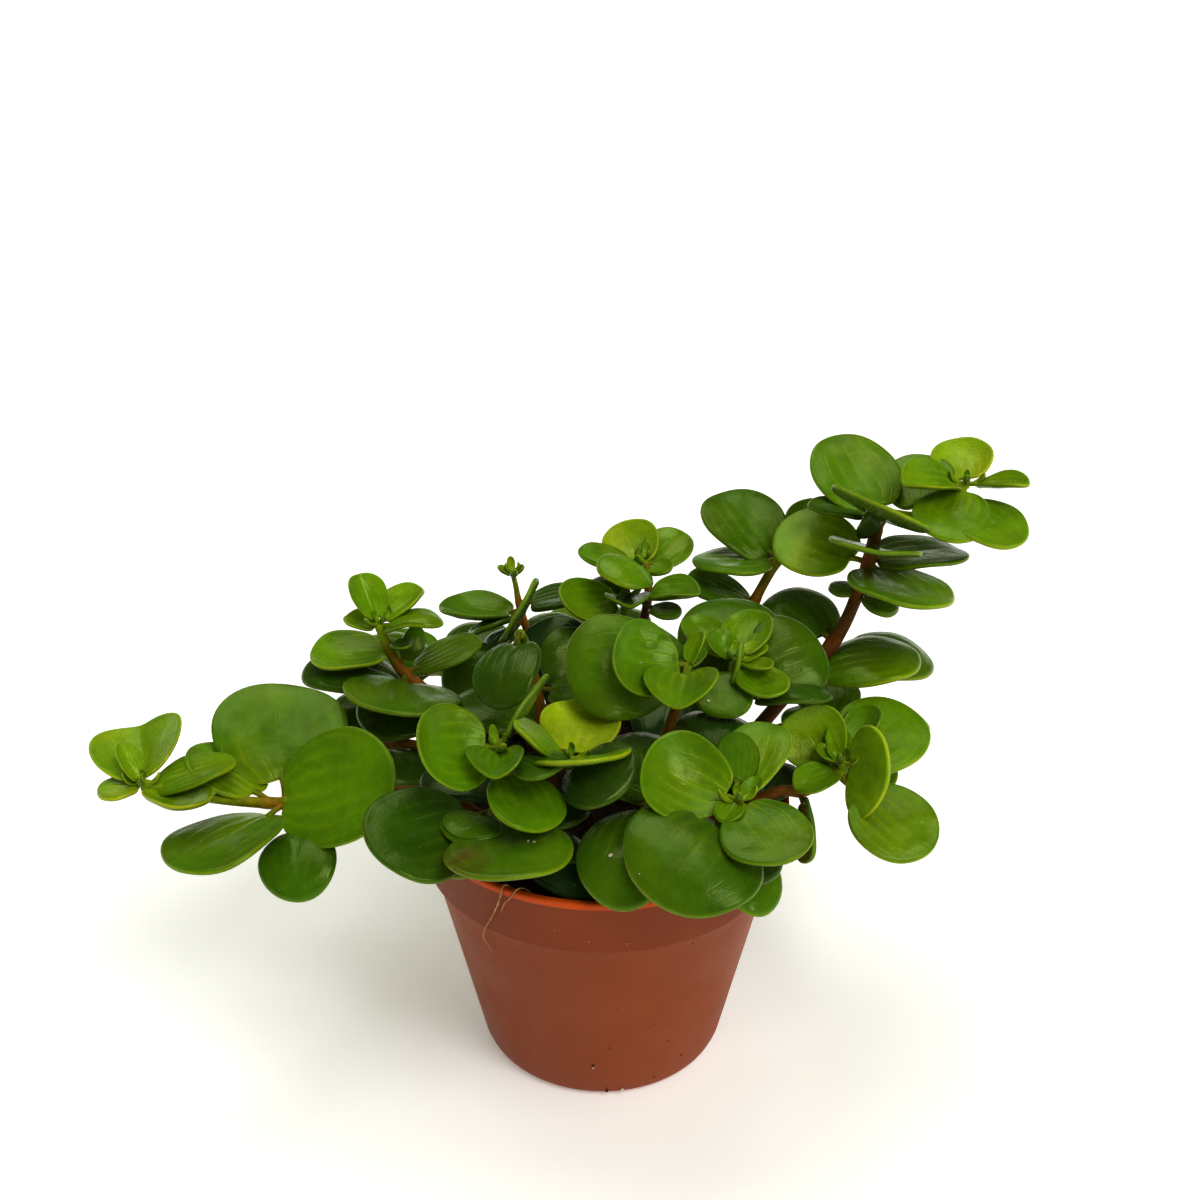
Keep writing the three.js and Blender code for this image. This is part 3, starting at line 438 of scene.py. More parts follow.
def ring_faces(rows, sides, first=0):
    """Quads between following rows of points."""
    faces = []
    for start in range(first, first + (rows - 1) * sides, sides):
        for k in range(sides):
            a, b = start + k, start + (k + 1) % sides
            faces.append((a, b, b + sides, a + sides))
    return faces


def fan_faces(middle, start, sides, turned=False):
    """Triangles from one row of points to a point in its middle."""
    faces = [(start + k, start + (k + 1) % sides, middle) for k in range(sides)]
    return [face[::-1] for face in faces] if turned else faces


def closed_faces(rows, sides):
    """The faces of a closed body: rows of points, then the points in the middle of its first and last row."""
    total = rows * sides
    return (ring_faces(rows, sides) + fan_faces(total, 0, sides, turned=True)
            + fan_faces(total + 1, total - sides, sides))


def place_object(name, data):
    """A new object in the scene."""
    item = bpy.data.objects.new(name, data)
    bpy.context.scene.collection.objects.link(item)
    return item


def place_mesh(name, points, faces, materials=()):
    """A new smooth body in the scene, its points in metres."""
    mesh = bpy.data.meshes.new(name)
    mesh.from_pydata(np.asarray(points).tolist(), [], faces)
    mesh.polygons.foreach_set("use_smooth", [True] * len(faces))
    for material in materials:
        mesh.materials.append(material)
    return place_object(name, mesh)


class Shape:
    """Points, faces and point data gathered for one mesh."""

    def __init__(self):
        self.points, self.faces, self.slots, self.tints, self.data = [], [], [], [], []
        self.count = 0

    def add(self, points, faces, tint=(0, 0, 0), slot=0, data=None):
        """Adds a body: tint is its colour, slot its material, data a row for each point of a blade."""
        n = len(points)
        self.points.append(points)
        self.faces += [tuple(i + self.count for i in face) for face in faces]
        self.slots += [slot] * len(faces)
        self.tints.append(np.broadcast_to(tint, (n, 3)))
        self.data.append(np.zeros((n, 5)) if data is None else data)
        self.count += n

    def build(self, name, materials):
        piece = place_mesh(name, np.vstack(self.points) * MM, self.faces, materials)
        mesh = piece.data
        mesh.polygons.foreach_set("material_index", self.slots)
        tints = np.hstack([np.vstack(self.tints), np.ones((self.count, 1))])
        data = np.vstack(self.data)
        for attribute, kind, field, values in (
            ("tint", "FLOAT_COLOR", "color", tints),
            ("leaf", "FLOAT_VECTOR", "vector", data[:, :3]),
            ("rim", "FLOAT", "value", data[:, 3]),
            ("rust", "FLOAT", "value", data[:, 4]),
        ):
            mesh.attributes.new(attribute, kind, "POINT").data.foreach_set(field, values.ravel())
        mesh.update()
        return piece


def stem_point(path, place):
    """A point on a stem: straight between its first two points, then a smooth curve through the rest."""
    segment = min(int(place), len(path) - 2)
    t = place - segment
    points = np.array(path, float)
    start, end = points[segment:segment + 2]
    if segment == 0 and start[2] < SOIL_TOP:
        return start + (end - start) * t
    before = points[segment - 1] if segment > 0 else 2 * start - end
    after = points[segment + 2] if segment + 2 < len(path) else 2 * end - start
    linear = end - before
    square = 2 * before - 5 * start + 4 * end - after
    cube = 3 * start - before - 3 * end + after
    return 0.5 * (2 * start + linear * t + square * t * t + cube * t ** 3)


def leaf_directions(heading, rise, roll):
    """Three unit vectors: along the leaf, to its left, and up from its face."""
    h, r, q = (math.radians(angle) for angle in (heading, rise, roll))
    along = np.array([math.cos(r) * math.cos(h), math.cos(r) * math.sin(h), math.sin(r)])
    level = np.array([-math.sin(h), math.cos(h), 0])
    left = level * math.cos(q) + np.cross(along, level) * math.sin(q)
    return np.array([along, left, np.cross(along, left)])


def blade_surface(kind, length, width, number, ring, angle):
    """The upper face in the leaf's own directions: ring is 0 in the middle and 1 at the rim.

    The leaf's number shifts its waves, so that no two leaves are alike.
    """
    cup, arch, fold, _, curl = LEAF_KINDS[kind]
    size = length / USUAL_LENGTH
    swell = 1 + OUTLINE_WAVE * np.sin(3 * angle + 2.4 * number)
    notch = BASE_NOTCH * length * np.maximum(0, -np.cos(angle)) ** NOTCH_SHARPNESS
    rim_x = length / 2 * (1 + swell * np.cos(angle)) + notch
    rim_y = width / 2 * swell * np.sin(angle) * (1 + EGG_SHAPE * np.cos(angle))
    x = length / 2 + ring * (rim_x - length / 2)
    y = ring * rim_y
    share = x / length
    side = 2 * y / width
    folded = np.sqrt(side * side + FOLD_SOFTNESS) - math.sqrt(FOLD_SOFTNESS)
    bend = -cup * length * (1 - ring ** 2) + arch * length * 4 * share * (1 - share) + fold * width * folded
    wave = SURFACE_WAVE * length * ring ** 2 * np.sin(2 * angle + 1.7 * number)
    ripple = RIM_RIPPLE * np.sin(5 * angle + 3.1 * number) * ring ** 3
    curled = curl * smooth(CURL_START, 1, ring) ** 1.5
    dimples = DIMPLES * np.sin(x * 0.42 / size + number) * np.sin(y * 0.5 / size + 2 * number)
    return x, y, bend + wave + (ripple - curled + dimples * (1 - ring ** 4) - furrows(share, side)) * size


def furrows(share, side):
    """The depth of the soft furrows that follow the veins."""
    opening = np.sqrt(np.maximum(1 - (2 * share - 1) ** 2, VEIN_SPREAD))
    course = np.abs(side) / opening
    depth = sum(deep * np.exp(-((course - place) * opening / reach) ** 2) for place, reach, deep in FURROWS)
    return depth * smooth(1.05, 0.0, share) * smooth(1.0, 0.8, course)


def add_leaf(shape, path, leaf, number, rust=None):
    """One leaf: a fleshy blade with a rounded rim, and its stalk from the stem."""
    place, kind, heading, rise, roll, stalk, length, width, tone = leaf
    start = stem_point(path, place)
    directions = leaf_directions(heading, rise, roll)
    base = start + directions[0] * stalk
    thickness = LEAF_KINDS[kind][3]
    half = thickness / 2
    sides = SMALL_BLADE_SIDES if length < SMALL_LEAF else BLADE_SIDES
    angles = circle(sides)
    rim_x, rim_y, _ = blade_surface(kind, length, width, number, np.ones(sides), angles)
    reach = np.hypot(rim_x - length / 2, rim_y)

    # Each row: how far out it lies, how deep under the upper face, and which way it faces.
    rows = [(np.full(sides, ring), 0.0, 1.0) for ring in UPPER_RINGS]
    for turn in np.radians(RIM_STEPS):
        rows.append((1 - half * (1 - math.cos(turn)) / reach, half - half * math.sin(turn), math.sin(turn)))
    rows += [(np.full(sides, ring), thickness, -1.0) for ring in LOWER_RINGS]
    middles = [(np.zeros(1), 0.0, 1.0), (np.zeros(1), thickness, -1.0)]
    points, data = [], []
    for ring, down, face in rows + middles:
        x, y, z = blade_surface(kind, length, width, number, ring, angles[:len(ring)])
        points.append(base + np.stack([x, y, z - down], 1) @ directions)
        data.append(np.stack([x / length, 2 * y / width, np.full(len(x), face), ring, np.zeros(len(x))], 1))
    data = np.vstack(data)
    if rust is not None:
        along, across, size = rust
        data[:, 4] = 1 - smooth(0.02, size, np.hypot(data[:, 0] - along, 0.5 * (data[:, 1] - across)))
    variety = 1 + TONE_VARIETY * math.sin(5.1 * number)
    tint = tuple(channel * variety for channel in LEAF_TONES[tone])
    faces = [face[::-1] for face in closed_faces(len(rows), sides)]
    shape.add(np.vstack(points), faces, tint, data=data)

    tip = float(smooth(TIP_START, TIP_END, place / (len(path) - 1)))
    stalk_tint = mix(STALK_RED, mix(tint, STEM_GREEN, 0.3), 0.9 * tip)
    add_stalk(shape, start, base, directions, leaf, number, (stalk_tint, tint))


def add_stalk(shape, start, base, directions, leaf, number, tints):
    """The short fleshy stalk that flares into the base of the blade; tints are its own and the blade's."""
    kind, length, width = leaf[1], leaf[6], leaf[7]
    along, left, upward = directions
    half = LEAF_KINDS[kind][3] / 2
    x, _, z = blade_surface(kind, length, width, number, STALK_JOIN, math.pi)
    end = base + along * x + upward * (z - half)
    radius = min(STALK_MAX_RADIUS, 0.45 + length / 32)
    points, colours = [], []
    for t in np.linspace(0, 1, STALK_STEPS):
        bulge = math.sin(math.pi * t)
        middle = start + (end - start) * t + upward * 0.4 * bulge
        wide = radius * (1 - 0.25 * bulge + 0.7 * t ** 4)
        high = radius * (1 - 0.25 * bulge) * (1 - t ** 3) + 0.55 * half * t ** 3
        for angle in circle(STALK_SIDES):
            points.append(middle + left * wide * math.cos(angle) + upward * high * math.sin(angle))
            colours.append(mix(tints[0], mix(tints[1], STEM_GREEN, 0.4), smooth(0.05, 0.75, t)))
    faces = [face[::-1] for face in ring_faces(STALK_STEPS, STALK_SIDES)]
    faces += [tuple(range(STALK_SIDES)), tuple(range(len(points) - STALK_SIDES, len(points)))[::-1]]
    shape.add(points, faces, colours, slot=1)


def add_tube(shape, centres, radii, sides, tints, slot=0, cap=0.0):
    """A round bar through the centres, closed at both ends."""
    centres = np.array(centres)
    ahead = np.gradient(centres, axis=0)
    ahead /= np.linalg.norm(ahead, axis=1)[:, None]
    across = np.array([0.0, 1.0, 0.0] if abs(ahead[0][1]) < 0.9 else [1.0, 0.0, 0.0])
    angles = circle(sides)[:, None]
    points = []
    for middle, forward, radius in zip(centres, ahead, radii):
        across = across - forward * across.dot(forward)
        across /= np.linalg.norm(across)
        ring = across * np.cos(angles) + np.cross(forward, across) * np.sin(angles)
        points += list(middle + radius * ring)
    points += [centres[0] - ahead[0] * cap, centres[-1] + ahead[-1] * cap]
    tints = list(np.repeat(np.asarray(tints, float), sides, axis=0))
    shape.add(points, closed_faces(len(centres), sides), tints + [tints[0], tints[-1]], slot)


def add_stem(shape, row):
    """A stem that swells where its leaves sit, dark at its foot and green at its tip."""
    _, radius, top_radius, path, leaves = row
    places = np.arange(0, len(path) - 1 + STEM_STEP / 2, STEM_STEP)
    centres = np.array([stem_point(path, place) for place in places])
    nodes = np.array([stem_point(path, leaf[0]) for leaf in leaves])
    share = places / places[-1]
    away = np.min(np.linalg.norm(centres[:, None] - nodes, axis=2), axis=1)
    swelling = np.exp(-(away / NODE_REACH) ** 2)
    radii = (radius + (top_radius - radius) * share) * (0.95 + NODE_SWELLING * swelling)
    bark = STEM_DARK if radius > OLD_STEM_RADIUS else STEM_BROWN
    tip = smooth(TIP_START, TIP_END, share)
    brown = np.clip(1.1 - 0.5 * share, 0, 1) * (1 - tip)
    foot = 0.85 * smooth(FOOT_END, FOOT_START, share)
    red = 0.5 * swelling * (1 - tip)
    tints = []
    for shares in zip(brown, foot, red, 0.7 * tip):
        tint = STEM_GREEN
        for colour, part in zip((bark, STEM_DARK, STALK_RED, LEAF_TONES[1]), shares):
            tint = mix(tint, colour, part)
        tints.append(tint)
    add_tube(shape, centres, radii, STEM_SIDES, tints, slot=1, cap=0.5)


def add_bud(shape, path, number):
    """A pair of tiny curled leaves and a smaller pair across them at a stem's end."""
    for k in range(4):
        turn, rise, *form = BUD_PAIRS[k // 2]
        heading = 180 * k + turn + 50 * number
        add_leaf(shape, path, (len(path) - 1, "bud", heading, rise, 0, BUD_STALK, *form), number + k)


def make_leafy_stems(materials):
    shapes = {}
    number = 0
    for row_index, row in enumerate(LEAFY_STEMS):
        name, _, _, path, leaves = row
        shape = shapes.setdefault(name, Shape())
        add_stem(shape, row)
        for index, leaf in enumerate(leaves):
            rust = RUST_PATCH[2:] if (name, index) == RUST_PATCH[:2] else None
            add_leaf(shape, path, leaf, number, rust)
            number += 1
        if name not in BUDLESS:
            add_bud(shape, path, row_index)
    for name, shape in shapes.items():
        piece = shape.build("fine_" + name, materials)
        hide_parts("leafy_stem_" + name)
        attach(piece, "root")


class Value:
    """A number or colour inside a material; numbers can be added, multiplied and so on."""

    def __init__(self, graph, socket):
        self.graph, self.socket = graph, socket

    def __add__(self, other):
        return self.graph.math("ADD", self, other)

    def __sub__(self, other):
        return self.graph.math("SUBTRACT", self, other)

    def __rsub__(self, other):
        return self.graph.math("SUBTRACT", other, self)

    def __mul__(self, other):
        return self.graph.math("MULTIPLY", self, other)

    def __truediv__(self, other):
        return self.graph.math("DIVIDE", self, other)

    def __abs__(self):
        return self.graph.math("ABSOLUTE", self)

    def ramp(self, low, high, out_low=0.0, out_high=1.0):
        """A soft step from out_low, where this number is at low, to out_high, where it is at high."""
        inputs = {"Value": self, "From Min": low, "From Max": high, "To Min": out_low, "To Max": out_high}
        return self.graph.node("MapRange", "Result", inputs, interpolation_type="SMOOTHSTEP")


class Graph:
    """Short ways to build a material's nodes. Texture scales count waves or cells in a metre."""

    def __init__(self, name):
        self.material = bpy.data.materials.new(name)
        self.material.use_nodes = True
        self.tree = self.material.node_tree
        self.tree.nodes.clear()
        output = self.tree.nodes.new("ShaderNodeOutputMaterial")
        self.shader = self.tree.nodes.new("ShaderNodeBsdfPrincipled")
        self.tree.links.new(self.shader.outputs[0], output.inputs["Surface"])
        self.place = self.node("TexCoord", "Object", {})

    def put(self, socket, value):
        """Links a value to a node's input, or sets a constant there."""
        if isinstance(value, Value):
            self.tree.links.new(value.socket, socket)
        else:
            socket.default_value = (*value, 1.0) if socket.type == "RGBA" else value

    def node(self, kind, output, inputs, **settings):
        """A new node with these inputs and settings, and what comes out of it."""
        node = self.tree.nodes.new("ShaderNode" + kind)
        for key, value in settings.items():
            setattr(node, key, value)
        for key, value in inputs.items():
            self.put(node.inputs[key], value)
        return Value(self, node.outputs[output])

    def attribute(self, name, output="Fac"):
        return self.node("Attribute", output, {}, attribute_name=name)

    def split(self, vector):
        return [self.node("SeparateXYZ", axis, {"Vector": vector}) for axis in "XYZ"]

    def noise(self, scale, detail=2.0, rough=0.5):
        inputs = {"Scale": scale, "Detail": detail, "Roughness": rough, "Vector": self.place}
        return self.node("TexNoise", "Fac", inputs)

    def dots(self, scale, edge, middle):
        """Small round dots: 1 within middle of each cell's centre and 0 beyond edge."""
        return self.node("TexVoronoi", "Distance", {"Scale": scale, "Vector": self.place}).ramp(edge, middle)

    def math(self, operation, a, b=0.0):
        return self.node("Math", 0, {0: a, 1: b}, operation=operation)

    def blend(self, share, a, b, mode="MIX"):
        """Colour a with a share of colour b over it."""
        return self.node("Mix", 2, {"Factor": share, 6: a, 7: b}, data_type="RGBA", blend_type=mode)

    def scaled(self, colour, factor):
        """A colour whose channels are multiplied by those of another, or all by one number."""
        return self.blend(1.0, colour, factor, "MULTIPLY")

    def bump(self, height, strength, distance):
        return self.node("Bump", "Normal", {"Strength": strength, "Distance": distance, "Height": height})

    def finish(self, **values):
        for key, value in values.items():
            self.put(self.shader.inputs[key.replace("_", " ")], value)
        return self.material


def leaf_veins(graph, along, across, side_veins):
    """Pale veins that leave the base together and run to the tip: soft bands and a fine line in each.

    side_veins is how clear all but the midrib are.
    """
    centred = along * 2.0 - 1.0
    opening = graph.math("SQRT", graph.math("MAXIMUM", 1.0 - centred * centred, VEIN_SPREAD))
    drift = (graph.noise(55.0) - 0.5) * 0.24
    course = abs(across / opening) + drift
    bands = lines = 0.0
    for place, width in VEINS:
        away = abs(course - place) * opening
        clear = side_veins if place > 0 else 1.0
        bands = graph.math("MAXIMUM", away.ramp(width * BAND_WIDTH, 0.0) * clear, bands)
        lines = graph.math("MAXIMUM", away.ramp(width, 0.0) * clear, lines)
    shown = along.ramp(1.0, 0.30) * graph.noise(75.0, 3.0, 0.6).ramp(0.36, 0.60, 0.35, 1.0)
    return bands * shown, lines * shown


def leaf_material():
    """Glossy fleshy skin: cloudy green with pale veins, a painted sparkle on young leaves, a lighter rim that
    is partly painted highlight, painted shade just inside it, a dull underside and small marks.
    """
    graph = Graph("peperomia_leaf")
    along, across, face = graph.split(graph.attribute("leaf", "Vector"))
    rim = graph.attribute("rim")
    youth = graph.attribute("tint").ramp(0.10, 0.24)
    bands, lines = leaf_veins(graph, along, across, youth.ramp(0.0, 1.0, 1.0, 0.30))
    granules_and_sparkle = graph.noise(1150.0, 2.0, 0.55)

    cloud = graph.noise(60.0, 3.0).ramp(0.25, 0.75, 0.82, 1.12)
    mottle = graph.noise(330.0, 3.0, 0.65).ramp(0.2, 0.8, 0.90, 1.10)
    colour = graph.scaled(graph.scaled(graph.attribute("tint", "Color"), cloud), mottle)
    # Painted highlight: a sparkle of tiny pale glints on young leaves; the same noise also gives them fine
    # bumps.
    colour = graph.blend(youth * granules_and_sparkle.ramp(0.42, 0.68) * 0.30, colour, SPARKLE_HIGHLIGHT_COLOUR)
    yellowed = graph.noise(38.0).ramp(0.42, 0.66)
    colour = graph.blend(yellowed, colour, graph.scaled(colour, YELLOWING))

    deeper = graph.scaled(colour, DEEPENING)
    between_veins = bands.ramp(0.6, 0.0) * along.ramp(0.80, 0.20)
    colour = graph.blend(between_veins * 0.35, colour, deeper)
    paler = graph.scaled(colour, PALING)
    near_base = along.ramp(0.24, 0.0)
    for share in (bands * 0.26, lines * 0.30, near_base * 0.45):
        colour = graph.blend(share, colour, paler)
    # Painted shade: a darker band just inside the rim, as the shadow of the rolled margin.
    painted_rim_shade = rim.ramp(0.80, 0.91) * rim.ramp(0.97, 0.93)
    colour = graph.blend(painted_rim_shade * 0.30, colour, deeper)
    # The thin pale edge: partly the rim's own paler colour, partly a painted highlight on the rounded rim.
    colour = graph.blend(rim.ramp(0.972, 1.0) * 0.8, colour, graph.scaled(colour, EDGE_PALING_AND_GLINT))
    colour = graph.blend(rim.ramp(0.984, 1.0) * (youth * 0.55), colour, YOUNG_RIM_COLOUR)
    colour = graph.blend(face.ramp(0.1, -0.6), colour, graph.blend(0.55, colour, UNDERSIDE_COLOUR))

    rust = graph.attribute("rust") * graph.noise(160.0, 3.0).ramp(0.20, 0.55)
    dark_dots = graph.dots(230.0, 0.10, 0.05) * graph.noise(40.0).ramp(0.56, 0.66)
    pale_dots = graph.dots(310.0, 0.075, 0.045) * graph.noise(55.0).ramp(0.50, 0.56)
    colour = graph.blend(rust * 0.8, colour, RUST_COLOUR)
    colour = graph.blend(dark_dots * 0.5, colour, DARK_DOT_COLOUR)
    colour = graph.blend(pale_dots * 0.55, colour, PALE_DOT_COLOUR)

    height = graph.noise(1700.0, 2.0, 0.6) * 0.22 + graph.noise(210.0) * 0.8
    height = height + granules_and_sparkle * youth * 0.7 - lines * 0.30
    rough = graph.noise(140.0, 3.0).ramp(0.3, 0.7, 0.14, 0.30)
    return graph.finish(Base_Color=colour, Roughness=rough, Normal=graph.bump(height, 0.42, 0.0006),
                        Specular_IOR_Level=0.34, Specular_Tint=(0.85, 1.0, 0.42))


def stem_material():
    """Streaky bark with small pale dots."""
    graph = Graph("peperomia_stem")
    streak = graph.noise(300.0, 4.0, 0.6)
    colour = graph.scaled(graph.attribute("tint", "Color"), streak.ramp(0.25, 0.75, 0.7, 1.3))
    colour = graph.blend(graph.dots(900.0, 0.28, 0.12) * 0.35, colour, STEM_DOT_COLOUR)
    rough = streak.ramp(0.3, 0.7, 0.38, 0.55)
    return graph.finish(Base_Color=colour, Roughness=rough, Normal=graph.bump(streak, 0.5, 0.0005),
                        Specular_IOR_Level=0.22, Specular_Tint=(1.0, 0.85, 0.50))


def pot_material():
    """Satin plastic: a darker collar with painted shade on its left side, a bright lip, faint grain, dust and
    scuffs.
    """
    graph = Graph("terracotta_plastic")
    x, _, height = graph.split(graph.place)
    grain = graph.noise(900.0, 3.0, 0.6)
    colour = graph.blend(graph.noise(18.0, 3.0).ramp(0.3, 0.7), *POT_TONES)
    collar = height.ramp(0.0715, 0.0735)
    colour = graph.blend(collar * 0.45, colour, COLLAR_COLOUR)
    # Painted shade: the collar darkens towards its left side, away from the light.
    colour = graph.blend(collar * x.ramp(0.0, -0.05) * 0.4, colour, PAINTED_COLLAR_SHADE)
    colour = graph.blend(height.ramp(0.0897, 0.0901), colour, LIP_COLOUR)
    colour = graph.scaled(colour, grain.ramp(0.2, 0.8, 0.95, 1.05))
    dust = graph.dots(420.0, 0.07, 0.03) * graph.noise(60.0).ramp(0.55, 0.65)
    colour = graph.blend(dust * 0.6, colour, DUST_COLOUR)
    rough = graph.noise(26.0, 5.0, 0.65).ramp(0.35, 0.7, 0.44, 0.60)
    relief = grain * 0.4 + graph.noise(120.0)
    return graph.finish(Base_Color=colour, Roughness=rough, Normal=graph.bump(relief, 0.12, 0.0004),
                        Specular_IOR_Level=0.25)


def soil_material():
    """Dark crumbs with paler fibres."""
    graph = Graph("potting_soil")
    crumbs = graph.noise(260.0, 5.0, 0.7)
    colour = graph.blend(crumbs.ramp(0.35, 0.65), *SOIL_TONES)
    colour = graph.blend(graph.dots(500.0, 0.16, 0.05) * 0.5, colour, FIBRE_COLOUR)
    return graph.finish(Base_Color=colour, Roughness=0.95, Normal=graph.bump(crumbs, 1.0, 0.0015),
                        Specular_IOR_Level=0.25)


def plain_material(name, tones, scale, roughness):
    """Two tones with a fine grain."""
    graph = Graph(name)
    grain = graph.noise(scale, 4.0, 0.6)
    colour = graph.blend(grain.ramp(0.3, 0.7), *tones)
    return graph.finish(Base_Color=colour, Roughness=roughness, Normal=graph.bump(grain, 0.5, 0.0004))


def floor_material():
    graph = Graph("pale_floor")
    colour = graph.blend(graph.noise(3.0, 3.0).ramp(0.3, 0.7), *FLOOR_TONES)
    return graph.finish(Base_Color=colour, Roughness=0.8, Emission_Color=(1.0, 1.0, 1.0),
                        Emission_Strength=FLOOR_GLOW)


def arc(centre, radius, start, end, steps):
    """Points on a rounded corner of a profile, angles in degrees."""
    angles = np.radians(np.linspace(start, end, steps + 1))
    return [(centre[0] + radius * math.cos(a), centre[1] + radius * math.sin(a)) for a in angles]


def turned_body(name, profile, sides):
    """A closed round body from a profile that starts and ends on the axis."""
    first, *middle, last = profile
    points = [(radius * math.cos(a), radius * math.sin(a), z) for radius, z in middle for a in circle(sides)]
    points += [(0, 0, first[1]), (0, 0, last[1])]
    return place_mesh(name, np.array(points) * MM, closed_faces(len(middle), sides))


def pot_profile():
    """Half of the pot's section: from the middle of its base outwards, up, over the lip and down inside."""
    foot = BASE_RADIUS - CORNER_SIZE
    lip_bottom = RIM_HEIGHT - LIP_HEIGHT
    neck = RIM_RADIUS - LIP_STEP
    lip_inside = RIM_RADIUS - LIP_THICKNESS + LIP_ROUNDING
    wall = ((WALL_FOOT_RADIUS, CORNER_SIZE + 0.5), (WALL_TOP_RADIUS - 0.1, COLLAR_BOTTOM - 0.6))
    profile = [(0, 0), (BASE_RADIUS / 2, 0), (foot - 2, 0)]
    profile += arc((foot, BASE_ROUNDING), BASE_ROUNDING, -90, -14, 8)
    profile += [mix(*wall, share) for share in np.linspace(0, 1, 12)]
    profile += arc((WALL_TOP_RADIUS + STEP_ROUNDING, COLLAR_BOTTOM - 0.5), STEP_ROUNDING, 180, 90, 3)
    profile += arc((COLLAR_BOTTOM_RADIUS - COLLAR_ROUNDING, COLLAR_BOTTOM + 0.7), COLLAR_ROUNDING, -90, 0, 4)
    profile += [(neck - 0.4, lip_bottom - 4), (neck, lip_bottom - 0.3)]
    profile += arc((RIM_RADIUS - LIP_ROUNDING, lip_bottom + LIP_ROUNDING), LIP_ROUNDING, -80, 0, 4)
    profile += arc((RIM_RADIUS - RIM_ROUNDING, RIM_HEIGHT - RIM_ROUNDING), RIM_ROUNDING, 0, 90, 5)
    profile += arc((lip_inside, RIM_HEIGHT - LIP_ROUNDING), LIP_ROUNDING, 90, 180, 4)
    profile += [(neck - WALL, lip_bottom), (COLLAR_BOTTOM_RADIUS - WALL, COLLAR_BOTTOM + 1.8)]
    profile += [(WALL_TOP_RADIUS - WALL, COLLAR_BOTTOM - 1), (WALL_FOOT_RADIUS - WALL, CORNER_SIZE)]
    return profile + [(foot, WALL), (0, WALL)]


def make_pot(material):
    pot = turned_body("fine_pot", pot_profile(), POT_SIDES)
    hole = [(0, -1), (DRAIN_HOLE_RADIUS, -1), (DRAIN_HOLE_RADIUS, WALL + 1), (0, WALL + 1)]
    reach = DRAIN_CIRCLE_RADIUS * MM
    cutters = []
    for angle in circle(DRAIN_HOLES):
        cutter = turned_body("cutter", hole, DRAIN_HOLE_SIDES)
        cutter.data.transform(Matrix.Translation((reach * math.cos(angle), reach * math.sin(angle), 0)))
        cutters.append(cutter)
        cut = pot.modifiers.new("hole", "BOOLEAN")
        cut.operation = "DIFFERENCE"
        cut.solver = "EXACT"
        cut.object = cutter
    view = bpy.context.evaluated_depsgraph_get()
    mesh = bpy.data.meshes.new_from_object(pot.evaluated_get(view))
    pot.modifiers.clear()
    pot.data = mesh
    for cutter in cutters:
        bpy.data.objects.remove(cutter)
    mesh.materials.clear()
    mesh.materials.append(material)
    mesh.set_sharp_from_angle(angle=math.radians(SHARP_EDGE))
    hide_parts("pot")
    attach(pot, "root")


def soil_height(x, y):
    """The loose soil surface: three crossing sets of small waves."""
    bumps = 0.5 * np.sin(x * 0.31 + 1.0) * np.sin(y * 0.27)
    bumps = bumps + 0.35 * np.sin(x * 0.83) * np.sin(y * 0.77 + 2.0)
    bumps = bumps + 0.25 * np.sin(x * 1.9 + 0.6 * y) * np.sin(1.7 * y - 0.5 * x)
    return SOIL_TOP - 0.4 + bumps


def make_soil(material, random):
    """The soil body with a crumbly top."""
    inset = WALL + CLEARANCE
    angles = circle(SOIL_SIDES)
    outline = ((BASE_RADIUS - CORNER_SIZE - CLEARANCE, inset),
               (WALL_FOOT_RADIUS - inset, CORNER_SIZE + CLEARANCE),
               (WALL_TOP_RADIUS - inset, COLLAR_BOTTOM - 1),
               (COLLAR_BOTTOM_RADIUS - inset, COLLAR_BOTTOM + 2.1))
    top = tuple((SOIL_TOP_RADIUS * share, None) for share in np.linspace(1, 0.04, SOIL_RINGS))
    rows = []
    for radius, height in outline + top:
        x, y = radius * np.cos(angles), radius * np.sin(angles)
        if height is None:
            grit = random.uniform(-SOIL_GRIT, SOIL_GRIT, SOIL_SIDES) * min(1, radius / 8)
            height = soil_height(x, y) + grit
        rows.append(np.stack([x, y, np.broadcast_to(height, SOIL_SIDES)], 1))
    ends = np.array([[0, 0, inset], [0, 0, float(soil_height(0.0, 0.0))]])
    shape = Shape()
    shape.add(np.vstack(rows + [ends]), closed_faces(len(rows), SOIL_SIDES))
    soil = shape.build("fine_soil", [material])
    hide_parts("soil")
    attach(soil, "root")


def lump_form():
    """The points and faces of a small ball to be turned into lumps."""
    ball = bmesh.new()
    bmesh.ops.create_icosphere(ball, subdivisions=2, radius=1.0)
    points = np.array([v.co[:] for v in ball.verts])
    faces = [tuple(v.index for v in face.verts) for face in ball.faces]
    ball.free()
    return points, faces


def add_lump(shape, form, place, size, random):
    """A small uneven lump at a place, size in each direction."""
    points, faces = form
    scale = 1 + LUMP_ROUGHNESS * random.standard_normal(len(points))
    turn = random.uniform(0, 2 * math.pi)
    x, y, z = (points * scale[:, None] * size).T
    spun = np.stack([x * math.cos(turn) - y * math.sin(turn), x * math.sin(turn) + y * math.cos(turn), z], 1)
    shape.add(spun + place, faces)


def make_crumbs(material, random):
    """Loose crumbs on the soil."""
    shape = Shape()
    form = lump_form()
    for _ in range(CRUMBS):
        radius = CRUMB_REACH * math.sqrt(random.uniform())
        angle = random.uniform(0, 2 * math.pi)
        x, y = radius * math.cos(angle), radius * math.sin(angle)
        size = random.uniform(*CRUMB_SIZES)
        place = (x, y, float(soil_height(x, y)) + size * 0.2)
        add_lump(shape, form, place, (size, size * 0.8, size * 0.6), random)
    crumbs = shape.build("soil_crumbs", [material])
    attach(crumbs, "root")


